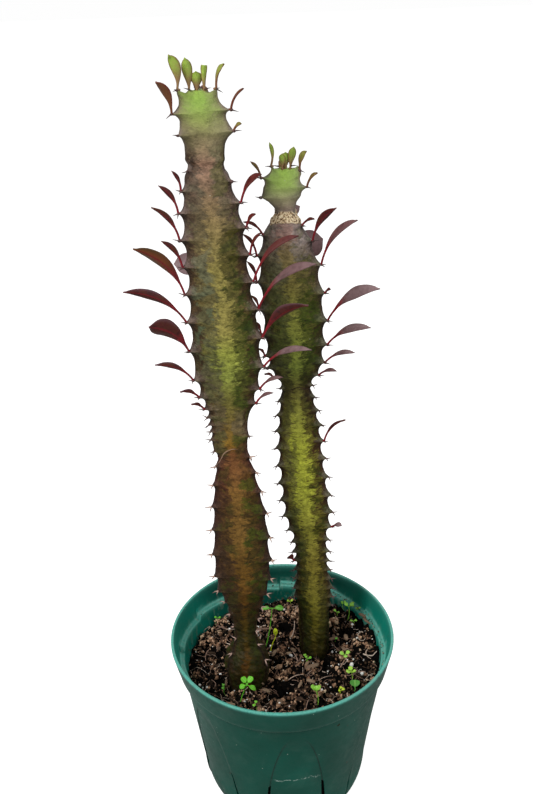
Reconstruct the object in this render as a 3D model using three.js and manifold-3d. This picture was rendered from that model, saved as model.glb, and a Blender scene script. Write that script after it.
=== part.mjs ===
// A potted euphorbia: two upright three-ribbed stems with toothed ribs, paired spines and spatula
// leaves, and a few volunteer seedlings, in a round nursery pot filled with soil.
// Millimetres, +Z up. The origin is the centre of the pot's flat underside and the front faces -Y.

import * as THREE from "three";
import { mergeVertices } from "three/addons/utils/BufferGeometryUtils.js";
import Module from "manifold-3d";

const wasm = await Module();
wasm.setup();

// ---- Driving dimensions ----

const gap = 0.3; // clearance between neighbouring pieces
const deg = Math.PI / 180;

const pot = {
  height: 108,
  rimRadius: 63.5,
  lip: 1.6, // thickness of the rim
  wall: 1.5,
  floor: 2,
  bandFoot: 92, // height of the step under the rim band
  bandFootRadius: 60.2,
  shoulderRadius: 57.9, // just under the step
  cornerTop: 24, // where the straight wall ends and the rounded foot begins
  cornerRadius: 49,
  baseRadius: 38,
  ledgeLow: 93.2, // stacking ledge inside: a ring of ramps, each dropping at its end
  ledgeSlope: 1.4,
  ledgeRise: 2.4,
  ledgeRamps: 12,
  columnsPerRamp: 3,
  arches: 6,
  archPhase: -84, // azimuth of the middle of one arch, degrees
  archHalfWidth: 17,
  archHeight: 84,
  archDepth: 0.6,
  slotTop: 42, // two drainage slots run down beside each arch
  slotFoot: 6,
  slotTopOffset: [14.1, 15.5],
  slotFootOffset: [15.4, 18],
};

const soil = {
  level: 84,
  lump: 1.1, // half the height of the crumbs' relief
  bank: { azimuth: 22, height: 8 }, // the fill is heaped against the wall on this side
  hollows: [
    { x: -1, y: -22, depth: 4, radius: 7 },
    { x: 31, y: 9, depth: 2.5, radius: 6 },
    { x: 9, y: 19, depth: 2, radius: 6 },
  ],
  rings: 8,
};

// The three ribs of a stem: azimuth, and how far down a turn of teeth the rib's own tooth sits.
const ribs = [
  { name: "left", azimuth: 210, phase: 0 },
  { name: "right", azimuth: 330, phase: 0.57 },
  { name: "back", azimuth: 90, phase: 0.28 },
];

// Each stem: [height, value] keys for the line of its centre, the radius over its teeth, how round it
// is (the face's share of the radius) and the spacing of teeth along one rib. The even turns at the top have
// their three teeth level, and the bare stretch has none. A leaf is
// [turn of teeth, length, lift in degrees, width, roll in degrees, swing in degrees], and one of the crown is
// [azimuth, length, lift, width].
const tall = {
  name: "tall_stem",
  y: -13,
  top: 405.8,
  buried: 48,
  lastTooth: 140,
  bare: [372, 384],
  centre: [
    [110, -20], [190, -20], [240, -22.8], [260, -22.3], [290, -22.4], [320, -24], [360, -26.4], [385, -26.8],
    [405, -28.4],
  ],
  radius: [
    [48, 6], [70, 9.5], [84, 11.2], [100, 11.2], [108, 9.4], [113, 7.4], [119, 6.1], [126, 6.8], [134, 8.2],
    [144, 11.8], [156, 16.2], [172, 17.6], [200, 16.2], [222, 13], [236, 10.4], [246, 10.2], [256, 12.9],
    [270, 17.2], [284, 19.8], [304, 19.4], [322, 17.9], [345, 17.1], [358, 15], [371, 10.4], [380, 11.6],
    [388, 13.1], [396, 12.3], [403, 8.6], [405.8, 4],
  ],
  roundness: [
    [112, 0.97], [140, 0.8], [165, 0.66], [225, 0.68], [240, 0.8], [262, 0.66], [355, 0.68], [372, 0.8],
    [388, 0.7], [404, 0.8],
  ],
  pitch: [
    [150, 9.1], [184, 15.4], [210, 11.7], [236, 6.5], [250, 3.9], [266, 8], [284, 14.8], [318, 12.5],
    [350, 11.6], [364, 8.1], [380, 7.4], [404, 9.7],
  ],
  firstTooth: 403.6,
  evenTurns: 3,
  leaves: {
    left: [
      [0, 14.5, 76, 4.8, 58, 0], [1, 14.5, 64, 5.5, 20, 0], [5, 9, 67, 2.6, 60, 0], [6, 15.5, 60, 4.4, 55, 0],
      [7, 19, 56, 5.6, 55, 0], [8, 16, 56, 4.6, 60, -4], [9, 33, 47, 9, 40, 4], [10, 34.5, 34, 9.5, 62, -2],
      [11, 25.5, 40, 9.5, 8, 6], [12, 22, 33, 6.5, 62, 0], [13, 11, 28, 3.2, 50, 0], [14, 8, 32, 2.6, 40, 0],
    ],
    right: [
      [0, 10.6, 66, 2.8, 40, 0], [1, 10, 50, 3, 40, 0], [2, 5, 39, 2.4, 30, 0], [5, 16.5, 51, 5.4, 45, 0],
      [6, 8, 52, 3, 50, 0], [7, 12.5, 58, 4, 60, -2], [8, 31.5, 42, 8, 50, -6], [9, 37, 37, 9, 50, -8],
      [10, 31, 38, 9, 38, -8], [11, 27.5, 27, 6.5, 60, -8], [12, 14.5, 33, 4.6, 45, 0], [13, 12, 37, 3, 50, 0],
    ],
    back: [
      [1, 11, 55, 3.6, 20, 0], [5, 10, 60, 3.2, 20, 0], [6, 15, 58, 5, -20, 4], [7, 18, 55, 6, 25, -5],
      [8, 26, 50, 8, -15, 6], [9, 31, 40, 9, 20, 26], [10, 30, 42, 9, -25, -6], [11, 24, 36, 8, 15, 4],
      [12, 19, 32, 6, 30, 0], [13, 11, 34, 3.4, 0, 0],
    ],
  },
  crown: [
    [224, 11, 80, 4], [262, 6.5, 84, 3.6], [296, 8.8, 82, 2.8], [95, 10, 74, 4], [150, 7.5, 80, 3.4],
    [45, 9, 72, 3.6],
  ],
};

const short = {
  name: "short_stem",
  y: 12,
  top: 369.6,
  buried: 50,
  lastTooth: 122,
  bare: [341, 352],
  centre: [
    [105, 19.2], [128, 18.6], [160, 17.4], [220, 12.4], [250, 10.8], [290, 10.2], [325, 7.5], [345, 6],
    [356, 5.4], [367, 7.2],
  ],
  radius: [
    [50, 5.5], [68, 7.8], [84, 8.6], [105, 9], [120, 11.6], [131, 12.6], [142, 11.6], [164, 12], [178, 15.1],
    [192, 15.9], [220, 15], [238, 13.5], [253, 10], [261, 12.2], [270, 16.7], [292, 19], [318, 18.3],
    [327, 16.8], [335, 13.2], [341, 8.1], [346, 5.8], [350, 8.4], [356, 11.9], [362, 11.1], [367, 8],
    [369.6, 4],
  ],
  roundness: [
    [100, 0.98], [125, 0.8], [175, 0.68], [240, 0.68], [253, 0.82], [268, 0.66], [325, 0.68], [344, 0.96],
    [357, 0.72], [367, 0.8],
  ],
  pitch: [
    [125, 6.3], [156, 6], [165, 8.6], [190, 10.4], [214, 10.8], [240, 8.9], [254, 6.7], [270, 6], [288, 13.5],
    [308, 13.6], [328, 11.8], [342, 4.3], [350, 7.2], [368, 6.4],
  ],
  firstTooth: 367.4,
  evenTurns: 0,
  leaves: {
    left: [
      [1, 9.5, 60, 2.6, 30, 0], [5, 13, 40, 3.4, 50, 24], [6, 13.5, 61, 4.2, 50, 16], [7, 12.5, 67, 3.6, 50, 12],
      [8, 9, 61, 1.8, 40, 8], [9, 9.2, 61, 2.2, 40, 8], [10, 5.5, 54, 2, 30, 0], [12, 7, 31, 2.4, 40, 0],
    ],
    right: [
      [1, 7.6, 54, 2.8, 30, 0], [4, 7, 33, 3, 30, 0], [5, 20.5, 53, 6, 45, 0], [6, 29, 51, 6.5, 55, 0],
      [8, 34, 36, 8, 50, 0], [9, 25, 28, 6.5, 55, 0], [10, 18, 26, 4.4, 50, 0], [11, 11, 22, 2.6, 40, 0],
      [16, 19.5, 51, 3.6, 50, 0], [21, 6.5, 22, 2.8, 20, 0],
    ],
    back: [
      [1, 9, 58, 3, 20, 0], [4, 14, 60, 6.5, 10, 20], [5, 22, 55, 11, 10, -28], [6, 24, 50, 7, 20, 6],
      [7, 28, 44, 8, -20, -5], [8, 30, 40, 8, 25, 5], [9, 23, 34, 6.5, -15, 0], [10, 16, 30, 4.4, 30, 0],
      [11, 10, 28, 2.8, 0, 0], [16, 14, 45, 3.4, 20, 0],
    ],
  },
  crown: [
    [215, 10, 80, 2.8], [250, 6.2, 84, 5], [285, 7, 82, 4.4], [310, 8.6, 76, 2.9], [335, 9.2, 69, 2.8],
    [100, 8, 74, 3.6], [40, 7, 78, 3],
  ],
};

const tooth = { share: 0.25, base: 0.2, flank: 0.3 }; // height from the spacing, and its share beside the tip
const ringOffsets = [-17, 0, 17, 60]; // section points on each side of a rib, degrees
const spine = { length: 3.4, radius: 0.45, sunk: 1.1, splay: 38, tilt: 8, everyTurns: 2 };
const crownShare = 0.38; // how far out the crown's leaves start, of the radius 5 mm down
const crownDepth = 3;
const leaf = { axil: 0.3, sunk: 1.6, thickness: 1.1, petiole: 0.55, bend: 26, fold: 0.35 };

// Half-widths along a blade as [share of length, share of half the width].
const spatula = [[0, 0.16], [0.24, 0.22], [0.52, 0.78], [0.78, 1]];
const roundBlade = [[0, 0.3], [0.3, 0.95], [0.76, 0.9]];

// Volunteer seedlings: foot and top of the stalk, then blades as [azimuth, length, lift, width] at the top.
const stalkRadius = 0.45;
const stalkDepth = 5;
const seedlings = [
  {
    name: "seedling_clover",
    foot: [-24.6, -31.4],
    top: [-20.2, -31.4, 98],
    blades: [[130, 4.4, 42, 4], [50, 4.6, 38, 3.8], [205, 4.6, -12, 4.6], [335, 5.4, -28, 3.8]],
    colour: 0x6cc22e,
  },
  {
    name: "seedling_two_leaf",
    foot: [-9.6, 15.3],
    top: [-5.3, 15.3, 111.5],
    blades: [[180, 6.2, -4, 3.8], [0, 6.8, -6, 4.2]],
    colour: 0x62b236,
  },
  {
    name: "seedling_bud",
    foot: [-7.2, 9.4],
    top: [-3.7, 9.4, 95],
    blades: [[95, 6, 82, 2.6], [275, 5.4, 78, 2.4]],
    colour: 0xb3c41c,
  },
  {
    name: "seedling_front",
    foot: [18.4, -32.4],
    top: [17.6, -32.4, 92.4],
    blades: [[165, 4.6, 48, 3.2], [20, 4.2, 52, 2.8], [75, 3.4, 68, 2.6]],
    colour: 0x8cc850,
  },
  {
    name: "seedling_round_leaf",
    foot: [39.6, -27.6],
    top: [39.6, -25.6, 86.4],
    blades: [[85, 5.6, 20, 5.6]],
    colour: 0x4f8f2c,
  },
  {
    name: "seedling_cluster",
    foot: [38.6, -17.6],
    top: [38.2, -17.6, 91.4],
    blades: [[200, 3.4, 25, 2.8], [100, 3.4, 35, 2.6], [340, 3.2, 30, 2.6]],
    colour: 0xa3d050,
  },
  {
    name: "seedling_side",
    foot: [36.4, 0],
    top: [36.6, 0, 88.2],
    blades: [[170, 3.6, 20, 2.8], [30, 3.4, 24, 2.6], [270, 3, 12, 2.6]],
    colour: 0xa0cf48,
  },
  {
    name: "seedling_back",
    foot: [41, 30],
    top: [41.6, 31, 98],
    blades: [[150, 3.4, 30, 3], [20, 3.6, 22, 3]],
    colour: 0x9fd04a,
  },
];

const colours = {
  pot: 0x1a5a4c,
  soil: 0x2b211b,
  tallStem: 0x5a5c33,
  shortStem: 0x6a7a35,
};

// ---- Helpers ----

function solidOf(geometry) {
  const bare = geometry.clone();
  bare.deleteAttribute("normal");
  bare.deleteAttribute("uv");
  const merged = mergeVertices(bare, 1e-4);
  const index = merged.index.array;
  const triVerts = [];
  for (let i = 0; i < index.length; i += 3) {
    const [a, b, c] = index.slice(i, i + 3);
    if (a !== b && b !== c && c !== a) triVerts.push(a, b, c);
  }
  const vertProperties = new Float32Array(merged.attributes.position.array);
  return new wasm.Manifold(
    new wasm.Mesh({ numProp: 3, vertProperties, triVerts: new Uint32Array(triVerts) }),
  );
}

function geometryOf(solid) {
  const mesh = solid.getMesh();
  return new THREE.BufferGeometry()
    .setAttribute("position", new THREE.BufferAttribute(new Float32Array(mesh.vertProperties), 3))
    .setIndex(new THREE.BufferAttribute(new Uint32Array(mesh.triVerts), 1));
}

function meshOf(name, solid, colour, roughness) {
  const geometry = geometryOf(solid);
  geometry.computeVertexNormals();
  const material = new THREE.MeshStandardMaterial({ color: colour, roughness, metalness: 0 });
  const mesh = new THREE.Mesh(geometry, material);
  mesh.name = name;
  return mesh;
}

// Value at a height of a smooth curve through [height, value] keys that never overshoots them.
function along(keys, at) {
  const last = keys.length - 1;
  if (at <= keys[0][0]) return keys[0][1];
  if (at >= keys[last][0]) return keys[last][1];
  const slope = (k) => (keys[k + 1][1] - keys[k][1]) / (keys[k + 1][0] - keys[k][0]);
  const tangent = (k) => {
    if (k === 0 || k === last) return 0;
    const before = slope(k - 1);
    const after = slope(k);
    return before * after <= 0 ? 0 : (2 * before * after) / (before + after);
  };
  const i = keys.findIndex(([height]) => height > at) - 1;
  const span = keys[i + 1][0] - keys[i][0];
  const t = (at - keys[i][0]) / span;
  const u = 1 - t;
  const ends = u * u * (1 + 2 * t) * keys[i][1] + t * t * (3 - 2 * t) * keys[i + 1][1];
  return ends + t * u * (u * tangent(i) - t * tangent(i + 1)) * span;
}

// A closed skin over a stack of rings, each an array of points of the same count, with a point at each end.
function loft(rings, start, end) {
  const count = rings[0].length;
  const points = [start, ...rings.flat(), end];
  const index = [];
  const at = (ring, k) => 1 + ring * count + (k % count);
  for (let k = 0; k < count; k++) {
    index.push(0, at(0, k + 1), at(0, k));
    index.push(points.length - 1, at(rings.length - 1, k), at(rings.length - 1, k + 1));
    for (let ring = 0; ring + 1 < rings.length; ring++) {
      index.push(at(ring, k), at(ring, k + 1), at(ring + 1, k + 1));
      index.push(at(ring, k), at(ring + 1, k + 1), at(ring + 1, k));
    }
  }
  return new THREE.BufferGeometry().setFromPoints(points).setIndex(index);
}

// ---- Pot and soil ----

// The rounded foot of the pot's wall, from the base up, set in from the outside by an offset.
function footArc(offset, floorHeight, steps) {
  const width = pot.cornerRadius - pot.baseRadius;
  const rise = pot.cornerTop - floorHeight;
  return Array.from({ length: steps + 1 }, (_, k) => {
    const turn = (k / steps) * 90 * deg;
    const radius = pot.baseRadius + width * Math.sin(turn) - offset;
    return new THREE.Vector2(radius, pot.cornerTop - rise * Math.cos(turn));
  });
}

// Radius of the pot's outside below the rim band.
function outsideRadius(height) {
  const share = (height - pot.cornerTop) / (pot.bandFoot - 1 - pot.cornerTop);
  return pot.cornerRadius + (pot.shoulderRadius - pot.cornerRadius) * share;
}

// A profile turned round the axis, with two columns close together where each ledge ramp ends. Points on
// the ledge climb along each ramp.
function turned(profile, ledgePoints = []) {
  const columns = pot.ledgeRamps * pot.columnsPerRamp;
  const geometry = new THREE.LatheGeometry(profile, columns).rotateX(90 * deg);
  const position = geometry.attributes.position;
  const rampAngle = (360 / pot.ledgeRamps) * deg;
  const lastColumn = pot.columnsPerRamp - 1;
  for (let i = 0; i < position.count; i++) {
    const radius = Math.hypot(position.getX(i), position.getY(i));
    const turn = Math.atan2(position.getY(i), position.getX(i));
    const column = (Math.round((turn / (2 * Math.PI)) * columns) + columns) % columns;
    const step = column % pot.columnsPerRamp;
    const share = (step / lastColumn) * 0.975;
    const azimuth = (Math.floor(column / pot.columnsPerRamp) + share) * rampAngle;
    const onLedge = ledgePoints.includes(i % profile.length);
    const lift = onLedge ? share * pot.ledgeRise : 0;
    position.setXYZ(i, radius * Math.cos(azimuth), radius * Math.sin(azimuth), position.getZ(i) + lift);
  }
  return geometry;
}

function potProfile() {
  const rim = pot.rimRadius;
  const inner = rim - pot.lip;
  const ledgeTop = pot.ledgeLow + pot.ledgeSlope;
  const underBand = pot.bandFootRadius - pot.wall + 0.4;
  return [
    new THREE.Vector2(0, 0),
    ...footArc(0, 0, 5),
    new THREE.Vector2(pot.shoulderRadius, pot.bandFoot - 1),
    new THREE.Vector2(pot.bandFootRadius, pot.bandFoot),
    new THREE.Vector2(rim, pot.height - 1),
    new THREE.Vector2(rim - 0.4, pot.height),
    new THREE.Vector2(inner + 0.4, pot.height),
    new THREE.Vector2(inner, pot.height - 1),
    new THREE.Vector2(underBand, ledgeTop),
    new THREE.Vector2(pot.shoulderRadius - pot.wall + 0.3, pot.ledgeLow),
    new THREE.Vector2(pot.shoulderRadius - pot.wall, pot.ledgeLow - 0.6),
    ...footArc(pot.wall, pot.floor, 4).reverse(),
    new THREE.Vector2(0, pot.floor),
  ];
}

// Azimuth of each arch, in degrees.
const archAzimuths = Array.from({ length: pot.arches }, (_, k) => pot.archPhase + (k * 360) / pot.arches);

// An outline drawn on the wall (across, up), pushed out from a radius along an azimuth.
function radialPrism(outline, azimuth, from, reach) {
  const geometry = new THREE.ExtrudeGeometry(outline, { depth: reach, bevelEnabled: false, curveSegments: 12 });
  geometry.rotateX(90 * deg); // outline up to +Z, push towards -Y
  geometry.translate(0, -from, 0);
  geometry.rotateZ((azimuth + 90) * deg);
  return solidOf(geometry);
}

function makePot() {
  const profile = potProfile();
  const ledgePoints = [profile.length - 8, profile.length - 9];
  let solid = solidOf(turned(profile, ledgePoints));

  const coreProfile = [
    new THREE.Vector2(0, -1),
    new THREE.Vector2(pot.baseRadius - pot.archDepth, -1),
    ...footArc(pot.archDepth, 0, 5),
    new THREE.Vector2(outsideRadius(pot.archHeight) + 0.02, pot.archHeight),
    new THREE.Vector2(0, pot.archHeight),
  ];
  const core = solidOf(turned(coreProfile));
  const arch = new THREE.Shape();
  arch.moveTo(-pot.archHalfWidth, 3);
  arch.lineTo(pot.archHalfWidth, 3);
  arch.absellipse(0, 3, pot.archHalfWidth, pot.archHeight - 3, 0, Math.PI, false);
  const [topIn, topOut] = pot.slotTopOffset;
  const [footIn, footOut] = pot.slotFootOffset;
  for (const azimuth of archAzimuths) {
    solid = solid.subtract(radialPrism(arch, azimuth, 30, 40).subtract(core));
    for (const side of [-1, 1]) {
      const slot = new THREE.Shape([
        new THREE.Vector2(side * topIn, pot.slotTop),
        new THREE.Vector2(side * footIn, pot.slotFoot),
        new THREE.Vector2(side * footOut, pot.slotFoot),
        new THREE.Vector2(side * topOut, pot.slotTop - 1),
      ]);
      solid = solid.subtract(radialPrism(slot, azimuth, 34, 30));
    }
  }
  return solid;
}

// Height of the soil's crumbly surface.
function soilHeight(x, y) {
  const radius = Math.hypot(x, y);
  const wallRadius = pot.shoulderRadius - pot.wall;
  const towardsBank = Math.cos(Math.atan2(y, x) - soil.bank.azimuth * deg);
  const heap = soil.bank.height * Math.max(0, towardsBank) ** 2 * Math.min(1, (radius / wallRadius) ** 3);
  const crumbs = Math.sin(x * 0.61 + 1.3 * Math.sin(y * 0.37)) * Math.cos(y * 0.53 + 0.9 * Math.sin(x * 0.29));
  const grit = Math.sin(x * 1.37 + y * 0.8) * Math.sin(y * 1.51 - x * 0.6);
  let height = soil.level + heap + soil.lump * (0.7 * crumbs + 0.3 * grit);
  for (const hollow of soil.hollows) {
    const away = Math.hypot(x - hollow.x, y - hollow.y) / hollow.radius;
    height -= hollow.depth * Math.exp(-away * away);
  }
  return height;
}

// A round hole for whatever stands in the soil, from a depth to above the surface.
function soilHole(x, y, depthHeight, radiusAt, steps, sides) {
  const top = soil.level + 14;
  const wall = Array.from({ length: steps + 1 }, (_, k) => {
    const height = depthHeight + ((top - depthHeight) * k) / steps;
    return new THREE.Vector2((radiusAt(height) + gap) / Math.cos(Math.PI / sides), height);
  });
  const profile = [new THREE.Vector2(0, depthHeight - gap), ...wall, new THREE.Vector2(0, top)];
  profile[1].y -= gap;
  return solidOf(new THREE.LatheGeometry(profile, sides).rotateX(90 * deg).translate(x, y, 0));
}

function makeSoil() {
  const wallOffset = pot.wall + gap;
  const topRadius = outsideRadius(soil.level) - wallOffset;
  const surface = Array.from(
    { length: soil.rings + 1 },
    (_, k) => new THREE.Vector2((topRadius * (soil.rings - k)) / soil.rings, soil.level),
  );
  const profile = [
    new THREE.Vector2(0, pot.floor + gap),
    ...footArc(wallOffset, pot.floor + gap, 3),
    new THREE.Vector2(outsideRadius(soil.level - 12) - wallOffset, soil.level - 12),
    ...surface,
  ];
  const geometry = turned(profile);
  const position = geometry.attributes.position;
  for (let i = 0; i < position.count; i++) {
    if (position.getZ(i) > soil.level - 1) {
      position.setZ(i, soilHeight(position.getX(i), position.getY(i)));
    }
  }
  let solid = solidOf(geometry);
  for (const stem of [tall, short]) {
    const x = along(stem.centre, soil.level);
    solid = solid.subtract(soilHole(x, stem.y, stem.buried, (height) => along(stem.radius, height), 4, 16));
  }
  for (const { foot } of seedlings) {
    const depthHeight = soilHeight(...foot) - stalkDepth;
    solid = solid.subtract(soilHole(...foot, depthHeight, () => stalkRadius, 1, 6));
  }
  return solid;
}

// ---- Stems ----

// Rows of one even turn: the level teeth, then two plain rows.
const levelRows = [
  { share: 0, carried: ribs },
  { share: 1 / 3, carried: [] },
  { share: 2 / 3, carried: [] },
];

// Heights of the whole turns of teeth, from the top down.
function turnHeights(stem) {
  const heights = [stem.firstTooth];
  while (heights.at(-1) > stem.lastTooth) {
    const spacing = along(stem.pitch, heights.at(-1) - along(stem.pitch, heights.at(-1)) / 2);
    heights.push(heights.at(-1) - spacing);
  }
  return heights;
}

// The section stations that carry teeth, from the bottom up. In the even turns the three ribs' teeth are
// level; below them each rib's tooth has a station of its own.
function toothStations(stem) {
  const heights = turnHeights(stem);
  const stations = [];
  for (let turn = 0; turn + 1 < heights.length; turn++) {
    const at = (share) => heights[turn] + (heights[turn + 1] - heights[turn]) * share;
    const rows = turn < stem.evenTurns ? levelRows : ribs.map((rib) => ({ share: rib.phase, carried: [rib] }));
    for (const { share, carried } of rows) {
      const height = at(share);
      const isBare = height > stem.bare[0] && height < stem.bare[1];
      stations.push({ turn, height, carried: isBare ? [] : carried });
    }
  }
  return stations.sort((a, b) => a.height - b.height);
}

// How far a tooth stands out at a height: less where the stem is nearly round.
function toothRise(stem, height) {
  const ribbed = Math.min(1, (1 - along(stem.roundness, height)) * 5);
  return ribbed * (tooth.base + tooth.share * along(stem.pitch, height));
}

// Radius of the skin between teeth, at an angle off the nearest rib in degrees.
function skinRadius(stem, height, offset) {
  const ribRadius = along(stem.radius, height) - toothRise(stem, height);
  const face = along(stem.roundness, height) * ribRadius;
  return face + (ribRadius - face) * (1 - Math.abs(offset) / 60) ** 2.2;
}

// How much of a tooth's rise shows at an angle off its rib.
function toothShare(offset) {
  if (offset === 0) return 1;
  return Math.abs(offset) < 60 ? tooth.flank : 0;
}

// A point of the skin at a station, on a rib or at an angle off it. A station may carry teeth.
function skinPoint(stem, station, rib, offset) {
  const { height } = station;
  const own = station.carried.includes(rib) ? toothRise(stem, height) * toothShare(offset) : 0;
  const radius = skinRadius(stem, height, offset) + own;
  const azimuth = (rib.azimuth + offset) * deg;
  const x = along(stem.centre, height) + radius * Math.cos(azimuth);
  return new THREE.Vector3(x, stem.y + radius * Math.sin(azimuth), height);
}

const ribsByAzimuth = ribs.toSorted((a, b) => a.azimuth - b.azimuth);

function stemRing(stem, station) {
  return ribsByAzimuth.flatMap((rib) => ringOffsets.map((offset) => skinPoint(stem, station, rib, offset)));
}

// Plain stations up to the first tooth, the stations with teeth, and two that close the crown.
function stationsOf(stem) {
  const teeth = toothStations(stem);
  const plain = [];
  for (let height = stem.buried; height < teeth[0].height - 4; height += 7) plain.push({ height, carried: [] });
  const last = teeth.at(-1).height;
  const crown = [0.45, 0.8].map((share) => ({ height: last + (stem.top - last) * share, carried: [] }));
  return [...plain, ...teeth, ...crown];
}

function makeStemBody(stem, stations) {
  const foot = new THREE.Vector3(along(stem.centre, stem.buried), stem.y, stem.buried);
  const tip = new THREE.Vector3(along(stem.centre, stem.top), stem.y, stem.top);
  return solidOf(loft(stations.map((station) => stemRing(stem, station)), foot, tip));
}

// A unit vector at an azimuth and an angle above the horizontal.
function direction(azimuth, lift) {
  return new THREE.Vector3(
    Math.cos(azimuth * deg) * Math.cos(lift * deg),
    Math.sin(azimuth * deg) * Math.cos(lift * deg),
    Math.sin(lift * deg),
  );
}

// One spine of a tooth's pair. It leaves the flank just beside and above the tooth's tip.
function makeSpine(stem, station, above, rib, side) {
  const flank = ringOffsets.findLast((offset) => offset < 0) * -side;
  const from = skinPoint(stem, station, rib, 0)
    .multiplyScalar(0.5)
    .addScaledVector(skinPoint(stem, station, rib, flank), 0.25)
    .addScaledVector(skinPoint(stem, above, rib, 0), 0.25);
  const way = direction(rib.azimuth + side * spine.splay, spine.tilt);
  const geometry = new THREE.ConeGeometry(spine.radius, spine.length + spine.sunk, 3);
  geometry.translate(0, (spine.length + spine.sunk) / 2 - spine.sunk, 0);
  geometry.applyQuaternion(new THREE.Quaternion().setFromUnitVectors(new THREE.Vector3(0, 1, 0), way));
  geometry.translate(from.x, from.y, from.z);
  return solidOf(geometry);
}

// A folded blade of a diamond section that starts inside its carrier and bends over along its length.
function makeBlade(base, { azimuth, length, lift, width, roll, bend, outline, sunk }) {
  const steps = outline.length;
  const across = new THREE.Vector3(-Math.sin(azimuth * deg), Math.cos(azimuth * deg), 0);
  const start = direction(azimuth, lift + bend);
  const point = base.clone().addScaledVector(start, -sunk);
  const rings = [];
  let travelled = -sunk;
  let heading = start;
  for (let k = 0; k < steps; k++) {
    const [share, halfShare] = outline[k];
    const target = share * length;
    heading = direction(azimuth, lift + bend * (1 - 2 * share));
    point.addScaledVector(heading, k === 0 ? 0 : target - travelled);
    travelled = k === 0 ? travelled : target;
    const side = across.clone().applyAxisAngle(heading, roll * deg);
    const up = new THREE.Vector3().crossVectors(heading, side).negate();
    const half = Math.max(leaf.petiole, (halfShare * width) / 2);
    const raised = point.clone().addScaledVector(up, half > leaf.petiole ? leaf.fold * half : 0);
    rings.push([
      raised.clone().addScaledVector(side, half),
      point.clone().addScaledVector(up, leaf.thickness / 2),
      raised.clone().addScaledVector(side, -half),
      point.clone().addScaledVector(up, -leaf.thickness / 2),
    ]);
  }
  const tip = point.clone().addScaledVector(direction(azimuth, lift - bend), length - travelled);
  const root = base.clone().addScaledVector(start, -sunk - 0.1);
  const blade = solidOf(loft(rings, root, tip));
  return blade.volume() < 0 ? solidOf(loft(rings.map((ring) => ring.toReversed()), root, tip)) : blade;
}

function makeStem(stem) {
  const stations = stationsOf(stem);
  let solid = makeStemBody(stem, stations);
  for (const [i, station] of stations.entries()) {
    for (const rib of station.carried) {
      const above = stations[i + 1];
      if (station.turn % spine.everyTurns === 0) {
        for (const side of [-1, 1]) solid = solid.add(makeSpine(stem, station, above, rib, side));
      }
      const row = stem.leaves[rib.name].find(([turn]) => turn === station.turn);
      if (!row) continue;
      const [, length, lift, width, roll, swing] = row;
      const base = skinPoint(stem, station, rib, 0).lerp(skinPoint(stem, above, rib, 0), leaf.axil);
      const azimuth = rib.azimuth + swing;
      const shape = { azimuth, length, lift, width, roll, bend: leaf.bend, outline: spatula, sunk: leaf.sunk };
      solid = solid.add(makeBlade(base, shape));
    }
  }
  const crownRadius = along(stem.radius, stem.top - 5) * crownShare;
  const x = along(stem.centre, stem.top);
  for (const [azimuth, length, lift, width] of stem.crown) {
    const out = direction(azimuth, 0).multiplyScalar(crownRadius);
    const base = new THREE.Vector3(x, stem.y, stem.top - crownDepth).add(out);
    const shape = { azimuth, length, lift, width, roll: 0, bend: 6, outline: spatula, sunk: crownDepth };
    solid = solid.add(makeBlade(base, shape));
  }
  return solid;
}

// ---- Seedlings ----

function makeSeedling({ foot, top, blades }) {
  const [x, y] = foot;
  const surface = soilHeight(x, y);
  const start = new THREE.Vector3(x, y, surface - stalkDepth);
  const exit = new THREE.Vector3(x, y, surface + 0.8);
  const end = new THREE.Vector3(...top);
  const rings = [start, exit, end].map((centre) =>
    [0, 1, 2, 3].map((k) => {
      const turn = k * 90 * deg;
      const out = new THREE.Vector3(Math.cos(turn), Math.sin(turn), 0);
      return centre.clone().addScaledVector(out, stalkRadius);
    }),
  );
  const under = start.clone().add(new THREE.Vector3(0, 0, -0.05));
  const over = end.clone().add(new THREE.Vector3(0, 0, 0.3));
  let solid = solidOf(loft(rings, under, over));
  for (const [azimuth, length, lift, width] of blades) {
    const shape = { azimuth, length, lift, width, roll: 0, bend: 8, outline: roundBlade, sunk: 0.4 };
    solid = solid.add(makeBlade(end, shape));
  }
  return solid;
}

// ---- The plant in its pot ----

const plant = new THREE.Group();
plant.add(meshOf("pot", makePot(), colours.pot, 0.45));
plant.add(meshOf("soil", makeSoil(), colours.soil, 0.95));
plant.add(meshOf(tall.name, makeStem(tall), colours.tallStem, 0.6));
plant.add(meshOf(short.name, makeStem(short), colours.shortStem, 0.6));
for (const seedling of seedlings) {
  plant.add(meshOf(seedling.name, makeSeedling(seedling), seedling.colour, 0.6));
}

export default plant;
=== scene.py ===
import math

import bmesh
import bpy
import numpy as np
from mathutils import Matrix, Vector


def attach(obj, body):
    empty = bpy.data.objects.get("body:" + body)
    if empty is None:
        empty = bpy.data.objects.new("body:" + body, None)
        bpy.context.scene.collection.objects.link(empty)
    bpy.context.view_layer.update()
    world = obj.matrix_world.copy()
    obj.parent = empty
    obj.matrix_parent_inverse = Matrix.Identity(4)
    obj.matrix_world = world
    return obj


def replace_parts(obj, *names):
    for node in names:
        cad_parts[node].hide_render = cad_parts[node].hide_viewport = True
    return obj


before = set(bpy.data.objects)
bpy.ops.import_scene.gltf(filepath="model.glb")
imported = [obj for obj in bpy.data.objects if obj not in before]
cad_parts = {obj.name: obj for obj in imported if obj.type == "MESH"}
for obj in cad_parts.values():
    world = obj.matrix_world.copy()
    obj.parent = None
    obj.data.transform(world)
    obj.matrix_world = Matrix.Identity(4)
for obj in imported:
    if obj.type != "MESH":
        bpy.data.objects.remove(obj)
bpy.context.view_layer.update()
scene = bpy.context.scene
mm = 0.001
up = np.array([0.0, 0.0, 1.0])
print("frame loaded,", len(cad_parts), "nodes")


# small helpers for shapes

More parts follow.
